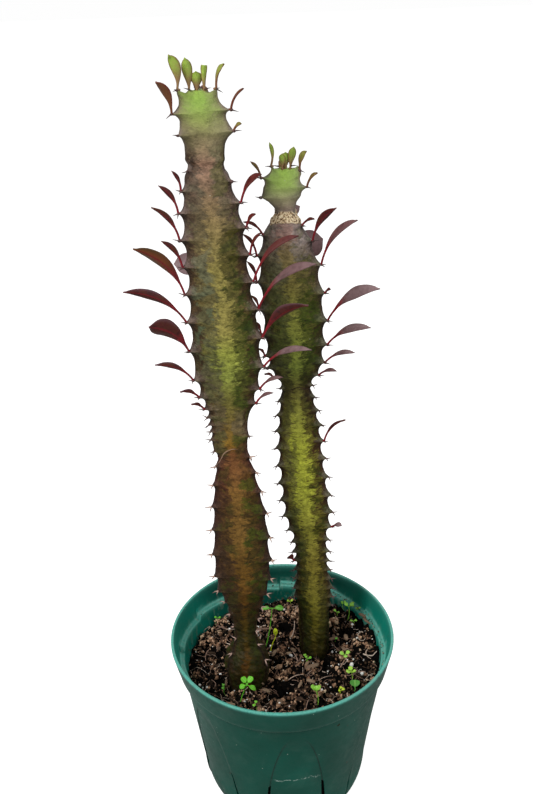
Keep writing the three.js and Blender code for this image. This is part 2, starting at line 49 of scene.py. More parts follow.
def along(keys, at):
    # smooth curve through [place, value] keys that never overshoots them
    place, value = np.array(keys, float).T
    slope = np.diff(value) / np.diff(place)
    before, after = slope[:-1], slope[1:]
    total = np.where(before * after > 0, before + after, 1)
    inner = np.where(before * after > 0, 2 * before * after / total, 0)
    tangent = np.concatenate(([0], inner, [0]))
    at = np.clip(at, place[0], place[-1])
    i = np.clip(np.searchsorted(place, at, side="right") - 1, 0, len(place) - 2)
    span = place[i + 1] - place[i]
    t = (at - place[i]) / span
    u = 1 - t
    ends = u * u * (1 + 2 * t) * value[i] + t * t * (3 - 2 * t) * value[i + 1]
    return ends + t * u * (u * tangent[i] - t * tangent[i + 1]) * span


def smooth(low, high, at):
    t = np.clip((at - low) / (high - low), 0, 1)
    return t * t * (3 - 2 * t)


def waves(points, size, seed, count=10):
    # soft bumps about -1 to 1, repeating after roughly the given size
    rng = np.random.default_rng(seed)
    ways = rng.normal(size=(count, 3))
    ways /= np.linalg.norm(ways, axis=1, keepdims=True)
    ways *= 2 * math.pi / (size * rng.uniform(0.7, 1.6, (count, 1)))
    turns = rng.uniform(0, 2 * math.pi, count)
    return np.sin(points @ ways.T + turns).sum(-1) / math.sqrt(count)


def direction(azimuth, lift):
    # unit vectors at azimuths and angles above the horizontal, in degrees
    turn, climb = np.radians(azimuth), np.radians(lift)
    x, y = np.cos(turn) * np.cos(climb), np.sin(turn) * np.cos(climb)
    return np.stack([x, y, np.sin(climb) + 0 * turn], -1)


def gridFaces(rows, columns):
    # quads of a closed band of rings, looking outwards when the rings run counterclockwise
    row, column = np.meshgrid(np.arange(rows - 1), np.arange(columns), indexing="ij")
    following = (column + 1) % columns
    low, high = row * columns, (row + 1) * columns
    corners = [low + column, low + following, high + following, high + column]
    return np.stack(corners, -1).reshape(-1, 4).tolist()


def capped(rows, columns):
    # the same band with a face over its first and its last ring
    last = (rows - 1) * columns
    return gridFaces(rows, columns) + [list(range(columns))[::-1], list(range(last, last + columns))]


def tube(path, radii, sides=6):
    # a closed tube along a path, with a radius at each of its points
    path = np.asarray(path, float)
    heading = np.gradient(path, axis=0)
    heading /= np.linalg.norm(heading, axis=1, keepdims=True)
    helper = up if abs(heading[:, 2]).mean() < 0.8 else np.array([1.0, 0.0, 0.0])
    side = np.cross(heading, helper)
    side /= np.linalg.norm(side, axis=1, keepdims=True)
    over = np.cross(heading, side)
    turn = np.arange(sides) * 2 * math.pi / sides
    ring = np.cos(turn)[None, :, None] * side[:, None] + np.sin(turn)[None, :, None] * over[:, None]
    points = path[:, None] + ring * np.asarray(radii, float)[:, None, None]
    return points.reshape(-1, 3), capped(len(path), sides)


def curl(start, way, length, bend, lift, steps=8):
    # a path that leaves start along way, turns sideways by bend and lifts by lift over its length
    azimuth = math.degrees(math.atan2(way[1], way[0]))
    rise = math.degrees(math.asin(max(-1, min(1, way[2]))))
    share = np.linspace(0, 1, steps)
    headings = direction(azimuth + bend * share, rise + lift * share)
    moves = headings[:-1] * length / (steps - 1)
    return np.vstack([start, start + np.cumsum(moves, axis=0)])


class Heap:
    # many small bodies that become one mesh, with their masks
    def __init__(self):
        self.points, self.faces, self.masks, self.count = [], [], {}, 0

    def add(self, points, faces, **masks):
        self.points.append(points)
        self.faces += [[corner + self.count for corner in face] for face in faces]
        for label, value in masks.items():
            self.masks.setdefault(label, []).append(np.broadcast_to(value, len(points)))
        self.count += len(points)

    def piece(self, name, material, slot):
        masks = {label: np.concatenate(values) for label, values in self.masks.items()}
        return meshPiece(name, np.concatenate(self.points), self.faces, material, masks)


def meshPiece(name, points, faces, material, masks=None, vectors=None):
    mesh = bpy.data.meshes.new(name)
    mesh.from_pydata((np.asarray(points, float) * mm).tolist(), [], faces)
    mesh.polygons.foreach_set("use_smooth", [True] * len(mesh.polygons))
    for label, values in (masks or {}).items():
        layer = mesh.attributes.new(label, "FLOAT", "POINT")
        layer.data.foreach_set("value", np.asarray(values, np.float32))
    for label, values in (vectors or {}).items():
        layer = mesh.attributes.new(label, "FLOAT_VECTOR", "POINT")
        layer.data.foreach_set("vector", np.asarray(values, np.float32).ravel())
    mesh.materials.append(material)
    mesh.update()
    piece = bpy.data.objects.new(name, mesh)
    scene.collection.objects.link(piece)
    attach(piece, "root")
    return piece


# small helpers for materials

def paint(code):
    # "#rrggbb" as linear colour
    channels = [int(code[k:k + 2], 16) / 255 for k in (1, 3, 5)]
    return [c / 12.92 if c <= 0.04045 else ((c + 0.055) / 1.055) ** 2.4 for c in channels] + [1]


def feed(tree, socket, value):
    if isinstance(value, bpy.types.NodeSocket):
        tree.links.new(value, socket)
    else:
        socket.default_value = value


def node(tree, kind, sockets=None, **settings):
    made = tree.nodes.new("ShaderNode" + kind)
    for key, value in settings.items():
        setattr(made, key, value)
    for key, value in (sockets or {}).items():
        feed(tree, made.inputs[key], value)
    return made


def calc(tree, operation, *values):
    made = node(tree, "Math", operation=operation)
    for socket, value in zip(made.inputs, values):
        feed(tree, socket, value)
    return made.outputs[0]


def blend(tree, share, first, second, mode="MIX"):
    made = node(tree, "Mix", {0: share, 6: first, 7: second}, data_type="RGBA", blend_type=mode)
    return made.outputs[2]


def tinge(tree, base, where, amount, code):
    # base with an amount of a plain colour over it where a mask says
    return blend(tree, calc(tree, "MULTIPLY", where, amount), base, paint(code))


def fade(tree, value, low, high):
    # 0 below low, 1 above high, smooth between; low may be the higher of the two
    made = node(tree, "MapRange", {0: value, 1: low, 2: high}, interpolation_type="SMOOTHSTEP")
    return made.outputs[0]


def remap(tree, value, start, end, low, high):
    # start to end becomes low to high, and it stays there beyond them
    return node(tree, "MapRange", {0: value, 1: start, 2: end, 3: low, 4: high}).outputs[0]


def ramp(tree, value, stops):
    # stops: {place: colour}, with colour as a list or a grey number
    made = node(tree, "ValToRGB", {"Fac": value})
    strip = made.color_ramp
    for k, (place, colour) in enumerate(sorted(stops.items())):
        stop = strip.elements[k] if k < 2 else strip.elements.new(place)
        stop.position = place
        stop.color = colour if isinstance(colour, list) else [colour] * 3 + [1]
    return made.outputs["Color"]


def heightRamp(tree, height, stops):
    # colours by height, {height: "#rrggbb"}
    low, high = min(stops), max(stops)
    share = remap(tree, height, low, high, 0, 1)
    scaled = {(place - low) / (high - low): paint(code) for place, code in stops.items()}
    return ramp(tree, share, scaled)


def noise(tree, place, scale, detail=2.0, roughness=0.5, distortion=0.0):
    sockets = {"Vector": place, "Scale": scale, "Detail": detail, "Roughness": roughness,
               "Distortion": distortion}
    return node(tree, "TexNoise", sockets).outputs[0]


def mask(tree, label):
    return node(tree, "Attribute", attribute_name=label).outputs["Fac"]


def placeInMm(tree):
    spot = node(tree, "TexCoord").outputs["Object"]
    return node(tree, "VectorMath", {0: spot, "Scale": 1 / mm}, operation="SCALE").outputs[0]


def makeGroup(name, takes, gives, build):
    group = bpy.data.node_groups.new(name, "ShaderNodeTree")
    for label, kind, value in takes:
        socket = group.interface.new_socket(label, in_out="INPUT", socket_type="NodeSocket" + kind)
        if value is not None:
            socket.default_value = value
    for label, kind in gives:
        group.interface.new_socket(label, in_out="OUTPUT", socket_type="NodeSocket" + kind)
    start, end = group.nodes.new("NodeGroupInput"), group.nodes.new("NodeGroupOutput")
    for label, value in build(group, start.outputs).items():
        group.links.new(value, end.inputs[label])
    return group


def useGroup(tree, group, sockets):
    made = node(tree, "Group", node_tree=group)
    for label, value in sockets.items():
        feed(tree, made.inputs[label], value)
    return made.outputs


def startMaterial(name, **shaderSettings):
    material = bpy.data.materials.new(name)
    material.use_nodes = True
    tree = material.node_tree
    shader = tree.nodes["Principled BSDF"]
    for label, value in shaderSettings.items():
        shader.inputs[label.replace("_", " ")].default_value = value
    return material, tree, shader


def bumpInto(tree, shader, height, strength, depth):
    # height is 0 to 1 and depth is in millimetres
    made = node(tree, "Bump", {"Height": height, "Strength": strength, "Distance": depth * mm})
    tree.links.new(made.outputs[0], shader.inputs["Normal"])


# effects that several materials share

def buildSpecks(group, given):
    # round specks, one to a cell and only in a share of the cells
    scale = calc(group, "DIVIDE", 1, given["Spacing"])
    cells = node(group, "TexVoronoi", {"Vector": given["Place"], "Scale": scale})
    luck = node(group, "SeparateColor", {0: cells.outputs["Color"]}).outputs
    reach = calc(group, "MULTIPLY", given["Size"], calc(group, "ADD", luck[1], 0.3))
    inside = fade(group, calc(group, "SUBTRACT", reach, cells.outputs["Distance"]), 0.0, 0.06)
    chosen = calc(group, "LESS_THAN", luck[0], given["Share"])
    return {"Mask": calc(group, "MULTIPLY", inside, chosen)}


def buildBlotches(group, given):
    # ragged patches where a cloudy field rises over a level
    scale = calc(group, "DIVIDE", 1, given["Size"])
    field = noise(group, given["Place"], scale, 4, 0.6, 0.4)
    low = calc(group, "SUBTRACT", given["Level"], given["Softness"])
    high = calc(group, "ADD", given["Level"], given["Softness"])
    return {"Mask": fade(group, field, low, high), "Field": field}


def buildGrain(group, given):
    # a fine uneven surface in two sizes
    scale = calc(group, "DIVIDE", 1, given["Size"])
    coarse = noise(group, given["Place"], scale, 3, 0.6)
    fine = noise(group, given["Place"], calc(group, "MULTIPLY", scale, 4.3), 2, 0.5)
    return {"Height": calc(group, "MULTIPLY_ADD", fine, 0.4, coarse)}


def buildDust(group, given):
    # patches of dust on what faces up
    normal = node(group, "NewGeometry").outputs["Normal"]
    facingUp = node(group, "SeparateXYZ", {0: normal}).outputs["Z"]
    patchy = noise(group, given["Place"], calc(group, "DIVIDE", 1, given["Size"]), 4, 0.65)
    settled = calc(group, "MULTIPLY", fade(group, facingUp, 0.1, 0.95), fade(group, patchy, 0.4, 0.68))
    return {"Mask": calc(group, "MULTIPLY", settled, given["Amount"])}


placeSocket = ("Place", "Vector", None)
specks = makeGroup("specks", [placeSocket, ("Spacing", "Float", 2.0), ("Size", "Float", 0.3),
                              ("Share", "Float", 0.3)], [("Mask", "Float")], buildSpecks)
blotches = makeGroup("blotches", [placeSocket, ("Size", "Float", 5.0), ("Level", "Float", 0.5),
                                  ("Softness", "Float", 0.05)], [("Mask", "Float"), ("Field", "Float")],
                     buildBlotches)
grain = makeGroup("grain", [placeSocket, ("Size", "Float", 1.0)], [("Height", "Float")], buildGrain)
dust = makeGroup("settledDust", [placeSocket, ("Size", "Float", 6.0), ("Amount", "Float", 0.5)],
                 [("Mask", "Float")], buildDust)


def grainHeight(tree, place, size):
    return useGroup(tree, grain, {"Place": place, "Size": size})["Height"]


# camera, floor and light

camera = {
    "place": (-4.63, -384.86, 435.85),
    "pitch": 25.07,  # degrees below the horizon
    "roll": -1.8,
    "focal": 850,  # in pixels of the 533 by 794 frame
    "frameHeight": 794,
    "sensor": 36,
}


def makeCamera():
    data = bpy.data.cameras.new("camera")
    data.sensor_fit = "VERTICAL"
    data.sensor_height = camera["sensor"]
    data.lens = camera["focal"] * camera["sensor"] / camera["frameHeight"]
    data.clip_start = 0.01
    data.clip_end = 100
    holder = bpy.data.objects.new("camera", data)
    tilt = Matrix.Rotation(math.radians(90 - camera["pitch"]), 4, "X")
    rolled = Matrix.Rotation(math.radians(camera["roll"]), 4, "Z")
    holder.matrix_world = Matrix.Translation([c * mm for c in camera["place"]]) @ tilt @ rolled
    scene.collection.objects.link(holder)
    scene.camera = holder


studio = {
    # the backdrop's brightness, and how much of it lights the plant
    "world": {"backdrop": 0.99, "strength": 0.36},
    "floor": {"colour": "#b4b4b2", "half": 30000, "glow": 0.9},
    # place, aim and size in millimetres, power in watts
    "lamps": {
        "key": {"place": (-750, -650, 1150), "aim": (0, 0, 220), "size": 600, "power": 15},
        "fill": {"place": (850, -750, 600), "aim": (0, 0, 200), "size": 900, "power": 4.5},
        "back": {"place": (250, 900, 950), "aim": (0, 0, 250), "size": 700, "power": 4},
    },
}


def makeWorld(facts):
    # the backdrop looks white, while what it lends the plant stays soft
    world = bpy.data.worlds.new("studio")
    world.use_nodes = True
    tree = world.node_tree
    seen = node(tree, "LightPath").outputs["Is Camera Ray"]
    strength = remap(tree, seen, 0, 1, facts["strength"], facts["backdrop"])
    feed(tree, tree.nodes["Background"].inputs["Strength"], strength)
    tree.nodes["Background"].inputs["Color"].default_value = (1, 1, 1, 1)
    scene.world = world


def makeFloor(facts):
    half = facts["half"] * mm
    material, tree, shader = startMaterial("floor_paper", Roughness=0.9)
    bright = paint(facts["colour"])
    fibre = noise(tree, placeInMm(tree), 0.05, 3)
    tree.links.new(ramp(tree, fibre, {0.3: bright, 0.7: [c * 0.985 for c in bright[:3]] + [1]}),
                   shader.inputs["Base Color"])
    shader.inputs["Emission Color"].default_value = (1, 1, 1, 1)
    seen = node(tree, "LightPath").outputs["Is Camera Ray"]
    feed(tree, shader.inputs["Emission Strength"], calc(tree, "MULTIPLY", seen, facts["glow"]))
    mesh = bpy.data.meshes.new("floor")
    corners = [(-half, -half, 0), (half, -half, 0), (half, half, 0), (-half, half, 0)]
    mesh.from_pydata(corners, [], [(0, 1, 2, 3)])
    mesh.materials.append(material)
    floor = bpy.data.objects.new("floor", mesh)
    scene.collection.objects.link(floor)


def makeStudio():
    makeWorld(studio["world"])
    makeFloor(studio["floor"])
    for name, lamp in studio["lamps"].items():
        data = bpy.data.lights.new(name, "AREA")
        data.size = lamp["size"] * mm
        data.energy = lamp["power"]
        holder = bpy.data.objects.new(name, data)
        place = Vector(lamp["place"])
        turn = (Vector(lamp["aim"]) - place).to_track_quat("-Z", "Y").to_matrix().to_4x4()
        holder.matrix_world = Matrix.Translation(place * mm) @ turn
        scene.collection.objects.link(holder)
    scene.view_settings.view_transform = "Standard"
    scene.view_settings.look = "None"


makeCamera()
makeStudio()
print("camera, floor and light made")


# the pot

pot = {
    "height": 108,
    "rimRadius": 63.5,
    "lip": 1.6,
    "wall": 1.5,
    "floor": 2,
    "bandFoot": 92,
    "bandFootRadius": 60.2,
    "shoulderRadius": 57.9,
    "cornerTop": 24,
    "cornerRadius": 49,
    "baseRadius": 38,
    "ledgeLow": 93.2,  # ring of ramps inside
    "ledgeSlope": 1.4,
    "ledgeRise": 2.8,
    "ledgeRamps": 12,
    "rampEnd": 0.98,  # share of a ramp's length that climbs, before it drops
    "arches": 6,
    "archPhase": -84,
    "archHalfWidth": 17,
    "archHeight": 84,
    "archDepth": 0.55,
    "archFoot": 3,
    "archFull": 74,  # the arch is pressed in fully below this
    "archLineFull": 72,  # and the painted shadow along its edge is full below this
    "slotTop": 42,
    "slotFoot": 6,
    "slotTopOffset": (14.1, 15.5),
    "slotFootOffset": (15.4, 18),
    "slotReach": (34, 64),  # from the axis to the near and the far side of the cutter
    "scuffHeight": 47,
    "columns": 480,
}


def outsideRadius(height):
    # of the straight wall between the rounded foot and the band
    share = (height - pot["cornerTop"]) / (pot["bandFoot"] - 1 - pot["cornerTop"])
    return pot["cornerRadius"] + (pot["shoulderRadius"] - pot["cornerRadius"]) * share


def footArc(offset, low, steps=14):
    # the rounded foot, moved inwards by offset and ending at the height low
    turn = np.linspace(0, math.pi / 2, steps)
    width, rise = pot["cornerRadius"] - pot["baseRadius"], pot["cornerTop"] - low
    return [(pot["baseRadius"] + width * math.sin(t) - offset, pot["cornerTop"] - rise * math.cos(t))
            for t in turn]


def potProfile():
    # (radius, height, paleness of the painted highlight, ledge share) from the middle of the underside, up
    # the outside and down inside; then the rows that the arches press in, and the first row that counts as
    # indoors
    rim, wall, high, low = pot["rimRadius"], pot["wall"], pot["height"], pot["ledgeLow"]
    inner = rim - pot["lip"]
    top = low + pot["ledgeSlope"]
    rows = [(0, 0.8, 0, 0), (pot["baseRadius"] - 6, 0.8, 0, 0), (pot["baseRadius"] - 4, 0, 0.1, 0)]
    foot = len(rows)
    rows += [(r, z, 0, 0) for r, z in footArc(0, 0)]
    rows += [(outsideRadius(z), z, 0, 0) for z in np.arange(26, 90.5, 1.6)]
    pressed = slice(foot, len(rows))
    rows += [(pot["shoulderRadius"], 90.6, 0, 0), (58.2, 91.1, 0.02, 0), (59.2, 91.5, 0.04, 0),
             (60.0, 91.75, 0.06, 0), (pot["bandFootRadius"] + 0.15, 92.3, 0.04, 0)]
    rows += [(60.35 + 3.1 * (z - 92.3) / 14.4, z, 0, 0) for z in (94, 97, 100, 103, 105.4)]
    rows += [(rim - 0.05, high - 1.4, 0.25, 0), (rim, high - 0.8, 0.85, 0)]
    indoors = len(rows)
    rows += [(rim - 0.15, high - 0.3, 1, 0), (rim - 0.45, high, 1, 0), (rim - 0.8, high - 0.15, 0.75, 0),
             (rim - 1.15, high, 1, 0), (inner + 0.1, high - 0.25, 0.9, 0), (inner - 0.05, high - 1, 0.4, 0),
             (inner - 0.3, high - 2.5, 0.1, 0)]
    rows += [(inner - 0.3 - 2.4 * (high - 2.5 - z) / 9.4, z, 0, 0) for z in (103, 100.5, 98)]
    rows += [(59.5, top + 1.3, 0.08, 0.9), (59.2, top + 0.25, 0.6, 1), (58.95, top, 0.95, 1),
             (58.5, top - 0.3, 0.7, 1), (58.0, top - 0.5, 0.45, 1), (57.5, low + 0.5, 0.5, 1),
             (57.05, low + 0.35, 0.75, 1), (56.8, low + 0.1, 1, 1), (56.65, low - 0.25, 0.6, 0.95),
             (56.4, low - 0.9, 0.1, 0.3), (56.35, low - 1.8, 0, 0)]
    rows += [(outsideRadius(z) - wall, z, 0, 0) for z in np.arange(90, 25, -3.0)]
    rows += [(r, z, 0, 0) for r, z in footArc(wall, pot["floor"], 8)[::-1]]
    rows += [(0, pot["floor"], 0, 0)]
    return np.array(rows), pressed, indoors


def makePotMesh(material):
    profile, pressed, indoors = potProfile()
    count = pot["columns"]
    turn = np.arange(count) * 2 * math.pi / count
    radius, height, pale, ledge = (profile[:, k][:, None] + 0 * turn[None] for k in range(4))
    # the ledge climbs along each ramp and drops at its end
    share = (turn / (2 * math.pi) * pot["ledgeRamps"]) % 1
    end = pot["rampEnd"]
    climb = np.where(share < end, share / end, 1 - (share - end) / (1 - end))
    height = height + ledge * pot["ledgeRise"] * climb[None]
    notch = smooth(end - 0.005, end, share)[None] * ledge
    pale = pale * (1 - notch)
    # shallow arches pressed into the outside
    outside = np.zeros(len(profile), bool)
    outside[pressed] = True
    for k in range(pot["arches"]):
        middle = math.radians(pot["archPhase"] + k * 360 / pot["arches"])
        away = (turn - middle + math.pi) % (2 * math.pi) - math.pi
        across = np.abs(away)[None] * radius
        grown = np.clip((pot["archHeight"] - height) / (pot["archHeight"] - pot["archFoot"]), 0, 1)
        edge = pot["archHalfWidth"] * np.sqrt(1 - (1 - grown) ** 2)
        inside = smooth(-0.3, 0.3, edge - across) * smooth(pot["archHeight"], pot["archFull"], height)
        radius = radius - pot["archDepth"] * inside * outside[:, None]
    # the thin wall isn't quite round under the band
    wobble = 0.12 * np.sin(3 * turn + 0.7) + 0.1 * np.sin(2 * turn + 2.1)
    uneven = radius + wobble[None] * smooth(20, 100, height) * smooth(100, 96, height)
    radius = np.where(profile[:, :1] > 0, uneven, 0)
    points = np.stack([radius * np.cos(turn), radius * np.sin(turn), height], -1)
    body = points[1:-1].reshape(-1, 3)
    rows = len(profile) - 2
    faces = gridFaces(rows, count)
    ends = np.array([points[0, 0], points[-1, 0]])
    first, last = len(body), len(body) + 1
    faces += [[first, (k + 1) % count, k] for k in range(count)]
    start = (rows - 1) * count
    faces += [[last, start + k, start + (k + 1) % count] for k in range(count)]
    masks = {"pale": np.concatenate([pale[1:-1].ravel(), [0, 0]]),
             "indoors": np.concatenate([np.repeat(np.arange(1, rows + 1) >= indoors, count), [0, 1]])}
    piece = meshPiece("nursery_pot", np.vstack([body, ends]), faces, material, masks)
    cutSlots(piece)
    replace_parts(piece, "pot")


def cutSlots(piece):
    # two slanting drainage slots beside each arch, cut with one boolean
    topIn, topOut = pot["slotTopOffset"]
    footIn, footOut = pot["slotFootOffset"]
    outline = [(topIn, pot["slotTop"]), (footIn, pot["slotFoot"]), (footOut, pot["slotFoot"]),
               (topOut, pot["slotTop"] - 1)]
    cutter = bmesh.new()
    for k in range(pot["arches"]):
        turn = Matrix.Rotation(math.radians(pot["archPhase"] + k * 360 / pot["arches"]), 4, "Z")
        for side in (-1, 1):
            near, far = [[cutter.verts.new(turn @ Vector((reach * mm, side * across * mm, height * mm)))
                          for across, height in outline] for reach in pot["slotReach"]]
            cutter.faces.new(near)
            cutter.faces.new(far[::-1])
            for i in range(len(outline)):
                j = (i + 1) % len(outline)
                cutter.faces.new([near[j], near[i], far[i], far[j]])
    bmesh.ops.recalc_face_normals(cutter, faces=cutter.faces)
    mesh = bpy.data.meshes.new("slotCutter")
    cutter.to_mesh(mesh)
    cutter.free()
    knife = bpy.data.objects.new("slotCutter", mesh)
    scene.collection.objects.link(knife)
    cut = piece.modifiers.new("slots", "BOOLEAN")
    cut.operation = "DIFFERENCE"
    cut.solver = "EXACT"
    cut.object = knife
    bpy.context.view_layer.update()
    finished = bpy.data.meshes.new_from_object(piece.evaluated_get(bpy.context.evaluated_depsgraph_get()))
    piece.modifiers.clear()
    piece.data = finished
    bpy.data.objects.remove(knife)


def archEdgeShadow(tree, place):
    # a thin painted shadow along the edge of each pressed arch
    x, y, height = node(tree, "SeparateXYZ", {0: place}).outputs
    spacing = 2 * math.pi / pot["arches"]
    azimuth = calc(tree, "SUBTRACT", calc(tree, "ARCTAN2", y, x), math.radians(pot["archPhase"]))
    # the added turns keep the angle above zero
    away = calc(tree, "PINGPONG", calc(tree, "ADD", azimuth, 10 * spacing), spacing / 2)
    radius = calc(tree, "SQRT", calc(tree, "MULTIPLY_ADD", x, x, calc(tree, "MULTIPLY", y, y)))
    grown = remap(tree, height, pot["archFoot"], pot["archHeight"], 1, 0)
    missing = calc(tree, "SUBTRACT", 1, grown)
    edge = calc(tree, "SQRT", calc(tree, "SUBTRACT", 1, calc(tree, "MULTIPLY", missing, missing)))
    apart = calc(tree, "MULTIPLY", calc(tree, "MULTIPLY", away, radius), -1)
    gap = calc(tree, "MULTIPLY_ADD", edge, pot["archHalfWidth"], apart)
    line = fade(tree, calc(tree, "ABSOLUTE", gap), 0.55, 0.1)
    return calc(tree, "MULTIPLY", line, fade(tree, height, pot["archHeight"], pot["archLineFull"]))


def scuffLine(tree, place):
    # the whitish scrape low on the front
    x, y, height = node(tree, "SeparateXYZ", {0: place}).outputs
    jitter = calc(tree, "MULTIPLY", calc(tree, "SUBTRACT", noise(tree, place, 0.25, 4, 0.7), 0.5), 7)
    off = calc(tree, "SUBTRACT", calc(tree, "ADD", height, jitter), pot["scuffHeight"])
    line = fade(tree, calc(tree, "ABSOLUTE", off), 0.6, 0.1)
    ends = calc(tree, "MULTIPLY", fade(tree, x, -10, -5), fade(tree, x, 20, 15))
    broken = calc(tree, "MULTIPLY", ends, fade(tree, noise(tree, place, 0.8, 3, 0.7), 0.4, 0.6))
    return calc(tree, "MULTIPLY", calc(tree, "MULTIPLY", line, broken), fade(tree, y, 0, -5))


def potMaterial():
    material, tree, shader = startMaterial("teal_plastic", Specular_IOR_Level=0.14)
    place = placeInMm(tree)
    indoors, pale = mask(tree, "indoors"), mask(tree, "pale")
    backward, height = node(tree, "SeparateXYZ", {0: place}).outputs[1:]
    base = ramp(tree, noise(tree, place, 0.03, 2),
                {0.3: paint("#024034"), 0.55: paint("#044a3d"), 0.75: paint("#085547")})
    # the inner wall has painted light at the sides and painted shade at the back
    sides = heightRamp(tree, height, {80: "#119582", 101: "#0f8c7a"})
    back = heightRamp(tree, height, {80: "#06463c", 96: "#064c41", 102: "#05362e"})
    inner = blend(tree, fade(tree, backward, 26, 52), sides, back)
    base = blend(tree, calc(tree, "MULTIPLY", indoors, 0.8), base, inner)
    # a thin painted shadow along each arch's edge
    base = tinge(tree, base, archEdgeShadow(tree, place), 0.8, "#052019")
    # painted highlight along the lip, the ledge's crests and the band's foot, broken up by noise
    broken = calc(tree, "MULTIPLY", pale, fade(tree, noise(tree, place, 0.9, 3, 0.6), 0.1, 0.55))
    base = tinge(tree, base, broken, 0.85, "#63b3a4")
    # fine scratches, a little chalky dust, specks of dirt and scale
    stretched = node(tree, "Mapping", {"Vector": place, "Scale": (1.4, 1.4, 0.12)}).outputs[0]
    scratches = fade(tree, noise(tree, stretched, 1.1, 4, 0.7), 0.66, 0.74)
    base = tinge(tree, base, scratches, 0.1, "#9fc4b8")
    chalk = useGroup(tree, blotches, {"Place": place, "Size": 14, "Level": 0.62, "Softness": 0.1})["Mask"]
    base = tinge(tree, base, chalk, 0.05, "#7d9488")
    base = tinge(tree, base, scuffLine(tree, place), 0.75, "#b9cdc4")
    dots = useGroup(tree, specks, {"Place": place, "Spacing": 3.4, "Size": 0.1, "Share": 0.22})["Mask"]
    base = tinge(tree, base, dots, 0.6, "#c4cfc2")
    crumbs = useGroup(tree, specks, {"Place": place, "Spacing": 5.5, "Size": 0.13, "Share": 0.22})["Mask"]
    base = tinge(tree, base, crumbs, 0.7, "#3a3022")
    # pale scale and splashed soil on the inner wall
    wall = calc(tree, "MULTIPLY", fade(tree, height, 101, 94), indoors)
    streaked = node(tree, "Mapping", {"Vector": place, "Scale": (1, 1, 0.35)}).outputs[0]
    limescale = {"Place": streaked, "Size": 3.4, "Level": 0.56, "Softness": 0.04}
    scaled = calc(tree, "MULTIPLY", useGroup(tree, blotches, limescale)["Mask"], wall)
    base = tinge(tree, base, scaled, 0.25, "#8fa898")
    splash = useGroup(tree, blotches, {"Place": place, "Size": 2.4, "Level": 0.6, "Softness": 0.04})["Mask"]
    low = calc(tree, "MULTIPLY", fade(tree, height, 93, 86), indoors)
    base = blend(tree, calc(tree, "MULTIPLY", splash, low), base, paint("#4a3d2c"))
    powder = useGroup(tree, dust, {"Place": place, "Size": 5, "Amount": 0.25})["Mask"]
    base = blend(tree, powder, base, paint("#7f9488"))
    tree.links.new(base, shader.inputs["Base Color"])
    worn = grainHeight(tree, place, 3.0)
    feed(tree, shader.inputs["Roughness"], remap(tree, worn, 0.4, 1, 0.3, 0.5))
    bumpInto(tree, shader, grainHeight(tree, place, 0.8), 0.2, 0.06)
    return material


makePotMesh(potMaterial())
print("pot made")


# the soil: a bed, crumbs heaped on it, fibres, perlite and bark

soil = {
    "level": 84,
    "lump": 1.1,
    "bank": {"azimuth": 22, "height": 8},
    "hollows": [(-1, -22, 4, 7), (31, 9, 2.5, 6), (9, 19, 2, 6)],  # x, y, depth, radius
    # smaller gaps between the clods, given in the same way
    "voids": [(-1, -22, 3, 6.5), (25, -2, 3, 5), (24, -12, 2.4, 4.5), (-37, -15, 2.5, 4.5), (2, 30, 2.5, 5),
              (-6, -2, 2, 4)],
    "stems": [(-20, -13, 10.6), (19.2, 12, 8.2)],  # x, y, radius where they stand
    "wallRadius": 56.4,
    "bedRadius": 55.2,
    "wallGap": 0.3,  # between the bed's side and the pot's wall
    "columns": 400,
    "rings": 100,
    "crumbs": 5000,
    "clods": 170,
    "perlite": 190,
    "fibres": 480,
    "roots": 60,
    "chips": 46,
    # chips in plain sight: x, y, half length, half width, azimuth, tint
    "placedChips": [(16.8, -5, 4.6, 1.5, 25, 0.75), (14, -2.5, 3.6, 1.2, 60, 0.95),
                    (-10.5, -21.5, 3.4, 1.6, -40, 0.9), (-12.6, -19.4, 2.8, 1.4, -60, 0.7),
                    (8.6, -30, 2.2, 1.8, 10, 0.3), (52, 22, 3.8, 1.3, 120, 0.8),
                    (50, 26, 3.0, 1.2, 140, 0.75), (31, 16, 3.6, 1.4, 200, 0.7)],
    "ledgeBits": 90,
    "curledRoot": {"centre": (47.3, 10.5, 92.6), "half": (2.2, 2.6, 1.1), "arc": (60, 340), "radius": 0.22},
}


def soilHeight(x, y):
    # the fill's broad shape: level, heaped towards the bank and sunk in the hollows
    bank = soil["bank"]
    towards = np.cos(np.arctan2(y, x) - math.radians(bank["azimuth"]))
    outwards = np.minimum(1, (np.hypot(x, y) / soil["wallRadius"]) ** 3)
    heap = bank["height"] * np.maximum(0, towards) ** 2 * outwards
    crumbs = np.sin(x * 0.61 + 1.3 * np.sin(y * 0.37)) * np.cos(y * 0.53 + 0.9 * np.sin(x * 0.29))
    grit = np.sin(x * 1.37 + y * 0.8) * np.sin(y * 1.51 - x * 0.6)
    height = soil["level"] + heap + soil["lump"] * (0.7 * crumbs + 0.3 * grit)
    for hollowX, hollowY, depth, reach in soil["hollows"]:
        height = height - depth * np.exp(-((x - hollowX) ** 2 + (y - hollowY) ** 2) / reach ** 2)
    return height


def fillRadius(height):
    # a hair inside the wall
    return outsideRadius(np.minimum(height, pot["bandFoot"] - 1)) - pot["wall"] - 0.25


def clods(x, y):
    # how the fill rises in clods and falls into gaps between them
    spots = np.stack([x, y, 0 * x], -1)
    rise = 1.3 * waves(spots, 15, 4) + 1.1 * waves(spots, 7, 5) + 0.8 * waves(spots, 3.4, 6)
    for voidX, voidY, depth, reach in soil["voids"]:
        rise = rise - depth * np.exp(-((x - voidX) ** 2 + (y - voidY) ** 2) / reach ** 2)
    return rise


